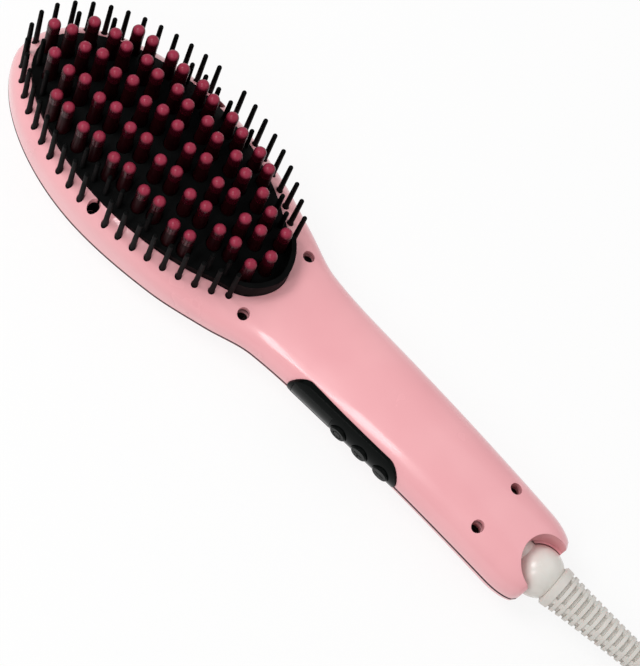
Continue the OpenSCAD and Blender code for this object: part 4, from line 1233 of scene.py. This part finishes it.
@dataclass
class PowerCord:
    """The whole cord as one smooth curve: a run, a coil of four layers and a tail; sizes in millimetres."""

    diameter: float = 6.5
    boot_end: Point = (176.503, 4.363, 13.1)
    cord_y: float = 12.0
    coil_x: float = 232.0
    turns: int = 7
    layers: int = 4
    inner_r: float = 36.0
    turn_pitch: float = 7.2
    layer_pitch: float = 7.0
    lead: float = 9.0
    steps_a_turn: int = 48
    steps_a_point: int = 5
    round_steps: int = 6
    foot_gap: float = 0.8           # from the table to the lowest layer
    climb_turns: float = 0.25       # half of the stretch in which the cord climbs a layer
    run: tuple[Point, ...] = ((179, 4.6, 13.1), (184, 5.3, 12.7), (190, 6.6, 11.6), (197, 8.5, 9.6),
                              (204, 10.4, 7.4), (211, 11.7, 5.3), (217, 12, 4.05))
    tail: tuple[Point, ...] = ((243, 12, 25.05), (249.5, 11.9, 25.1), (257.6, 10, 25.6), (265.8, 5.6, 26.6),
                               (272.4, -1.2, 27.8), (276.6, -10.2, 29.1), (278, -19.9, 30.4),
                               (276.6, -29.6, 31.7), (272.4, -38.6, 32.9), (265.8, -45.4, 34),
                               (257.6, -49.8, 34.9), (249.5, -51.7, 35.3), (246, -51.8, 35.4))
    plug: Point = (244, -51.8, 35.4)

    @property
    def low(self) -> float:
        """Height of the lowest layer's middle."""
        return self.diameter / 2 + self.foot_gap

    @property
    def layer_turns(self) -> float:
        """Turns in one layer."""
        return self.turns / self.layers

    @property
    def outer_r(self) -> float:
        """Radius of the outermost turn."""
        return self.inner_r + self.turn_pitch * self.layer_turns / 2

    def climb(self, t: float) -> float:
        """Read the layer; the cord climbs in the half turn where the spiral reverses.

        Args:
            t: Turn, from the coil's start.

        Returns:
            The layer, with fractions in a climb.
        """
        n = round(t / self.layer_turns)
        d = (t - n * self.layer_turns) / self.climb_turns
        if n <= 0 or n >= self.layers or abs(d) >= 1:
            return math.floor(min(t / self.layer_turns, self.layers - 0.01))
        f = (d + 1) / 2
        return n - 1 + f * f * (3 - 2 * f)

    def coil_point(self, t: float) -> Point:
        """Read the coil's centreline.

        Args:
            t: Turn, from the coil's start.

        Returns:
            The point there.
        """
        f = (t / self.layer_turns) % 2
        r = self.outer_r - self.turn_pitch * self.layer_turns * (f if f < 1 else 2 - f)
        a = math.radians(90 - 360 * t)
        return (self.coil_x + r * math.cos(a), self.cord_y - self.outer_r + r * math.sin(a),
                self.low + self.layer_pitch * self.climb(t))

    @staticmethod
    def smooth(points: Sequence[Point], steps: int) -> list[Point]:
        """Lay a smooth curve through points.

        Args:
            points: The points.
            steps: Steps from each point to the next.

        Returns:
            The points of the curve.
        """
        result: list[Point] = []
        for i in range(len(points) - 1):
            a, b, c, d = (Vector(points[min(max(i + k, 0), len(points) - 1)]) for k in (-1, 0, 1, 2))
            for k in range(steps):
                t = k / steps
                result.append(tuple(0.5 * (2 * b + (c - a) * t + (2 * a - 5 * b + 4 * c - d) * t * t
                                           + (3 * b - a - 3 * c + d) * t * t * t)))
        return result + [tuple(points[-1])]

    def path(self) -> list[Point]:
        """Lay the whole centreline, in millimetres.

        Returns:
            Its points from the boot to the plug.
        """
        high = self.low + self.layer_pitch * (self.layers - 1)
        lead_in = (self.coil_x - self.lead, self.cord_y, self.low)
        lead_out = (self.coil_x + self.lead, self.cord_y, high)
        start = self.smooth([self.boot_end, *self.run, lead_in], self.steps_a_point)
        coil = [self.coil_point(k / self.steps_a_turn) for k in range(self.steps_a_turn * self.turns + 1)]
        return [*start, *coil, lead_out, *self.smooth(self.tail, self.steps_a_point), self.plug]

    def build(self) -> Piece:
        """Returns:
            The piece.
        """
        data = bpy.data.curves.new("power_cord", "CURVE")
        data.dimensions = "3D"
        data.bevel_depth = self.diameter / 2 * MM
        data.bevel_resolution = self.round_steps
        data.use_fill_caps = True
        points = self.path()
        spline = data.splines.new("POLY")
        spline.points.add(len(points) - 1)
        for place, p in zip(spline.points, points):
            place.co = (*(c * MM for c in p), 1.0)
        spline.use_smooth = True
        data.materials.append(SOFT_PVC.build())
        piece = put("power_cord", data)
        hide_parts("cord_run", "cord_coil", "cord_tail")
        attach(piece, Body.SWIVEL.value)
        Dressed({"cord_tie": TIE_PVC, "plug_body": SOFT_PVC, "plug_pins": NICKEL}).build()
        return piece


@dataclass
class Studio:
    """Camera at the photograph's angle, white floor and soft lamps."""

    right: Point = (0.6908, 0.6921, 0.2093)
    up: Point = (-0.7168, 0.6175, 0.3240)
    back: Point = (0.0951, -0.3738, 0.9226)
    distance_mm: float = 800.0
    pixels_a_mm: float = 2.81
    origin_pixel: tuple[float, float] = (277.52, 320.8)
    image: tuple[float, float] = (640.0, 666.0)
    sensor_mm: float = 24.0
    floor_m: float = 6.0
    paper: float = 0.86             # share of the floor's look that is plain white, so shadows stay faint
    room: float = 0.5               # the room's light on the brush; the camera sees it at 1
    aim: Point = (0.0, 0.0, 0.02)   # where every lamp points, in metres
    lamps: tuple[tuple[str, Point, tuple[float, float], float], ...] = (
        ("key", (-0.45, -0.2, 0.85), (0.4, 0.3), 3.6),
        ("window", (-0.085, -0.64, 0.82), (0.12, 0.45), 1.6),
        ("side_window", (-0.01, -0.64, 0.82), (0.04, 0.3), 0.22),
        ("fill", (0.5, 0.5, 0.9), (0.9, 0.9), 1.4))

    def camera(self) -> None:
        """Place the camera so that the brush lies in the frame as in the photograph."""
        data = bpy.data.cameras.new("camera")
        data.sensor_fit = "VERTICAL"
        data.sensor_height = self.sensor_mm
        data.lens = self.pixels_a_mm * self.distance_mm / self.image[1] * self.sensor_mm
        data.clip_start, data.clip_end = 0.01, 50
        eye = put("camera", data)
        back = Vector(self.back).normalized()
        right = (Vector(self.right) - back * Vector(self.right).dot(back)).normalized()
        up = back.cross(right)
        across = (self.image[0] / 2 - self.origin_pixel[0]) / self.pixels_a_mm
        down = (self.origin_pixel[1] - self.image[1] / 2) / self.pixels_a_mm
        place = (right * across + up * down + back * self.distance_mm) * MM
        turn = Matrix((right, up, back)).transposed().to_4x4()
        eye.matrix_world = Matrix.Translation(place) @ turn
        bpy.context.scene.camera = eye

    def floor(self) -> None:
        """Lay a white floor that shows as white paper and keeps a faint shadow."""
        mesh = bpy.data.meshes.new("floor")
        r = self.floor_m / 2
        mesh.from_pydata([(-r, -r, 0), (r, -r, 0), (r, r, 0), (-r, r, 0)], [], [(0, 1, 2, 3)])
        sheet = put("floor", mesh)
        material = bpy.data.materials.new("white_paper")
        material.use_nodes = True
        tree = material.node_tree
        tree.nodes.clear()
        path = add_node(tree, "LightPath")
        seen = add_node(tree, "Math", {"operation": "MAXIMUM"}, {
            0: path.outputs["Is Camera Ray"], 1: path.outputs["Is Glossy Ray"]})
        seen = add_node(tree, "Math", {"operation": "MAXIMUM"}, {
            0: seen.outputs[0], 1: path.outputs["Is Transmission Ray"]})
        share = add_node(tree, "Math", {"operation": "MULTIPLY"}, {0: seen.outputs[0], 1: self.paper})
        paper = add_node(tree, "BsdfDiffuse", None, {"Color": linear("#F6F6F5")})
        glow = add_node(tree, "Emission", None, {"Color": (1, 1, 1, 1), "Strength": 1.0})
        mixed = add_node(tree, "MixShader", None, {
            0: share.outputs[0], 1: paper.outputs[0], 2: glow.outputs[0]})
        add_node(tree, "OutputMaterial", None, {"Surface": mixed.outputs[0]})
        mesh.materials.append(material)

    def lamp(self, name: str, place: Point, size: tuple[float, float], watts: float) -> None:
        """Add a soft rectangular lamp.

        Args:
            name: Name of the lamp.
            place: Where it hangs, in metres.
            size: Width and height in metres.
            watts: Power.
        """
        data = bpy.data.lights.new(name, "AREA")
        data.shape = "RECTANGLE"
        data.size, data.size_y = size
        data.energy = watts
        light = put(name, data)
        light.location = place
        light.rotation_euler = (Vector(self.aim) - Vector(place)).to_track_quat("-Z", "Y").to_euler()

    def world(self) -> None:
        """Fill the room with even white light; the camera sees it as white."""
        world = bpy.data.worlds.new("room")
        bpy.context.scene.world = world
        world.use_nodes = True
        tree = world.node_tree
        tree.nodes.clear()
        path = add_node(tree, "LightPath")
        strength = add_node(tree, "MapRange", None, {
            "Value": path.outputs["Is Camera Ray"], "To Min": self.room, "To Max": 1.0})
        sky = add_node(tree, "Background", None, {
            "Color": (1, 1, 1, 1), "Strength": strength.outputs["Result"]})
        add_node(tree, "OutputWorld", None, {"Surface": sky.outputs[0]})

    def build(self) -> None:
        """Set up camera, floor, room light and lamps."""
        self.camera()
        self.floor()
        self.world()
        for settings in self.lamps:
            self.lamp(*settings)
        bpy.context.scene.view_settings.view_transform = "Standard"


def main() -> None:
    """Build the scene piece by piece."""
    logging.basicConfig(level=logging.INFO, format="%(message)s")
    Studio().build()
    PowerCord().build()
    for side in Side:
        Shell(side).build()
    CombPad().build()
    ControlPanel().build()
    HeaterPack().build()
    Swivel().build()


if __name__ == "__main__":
    main()
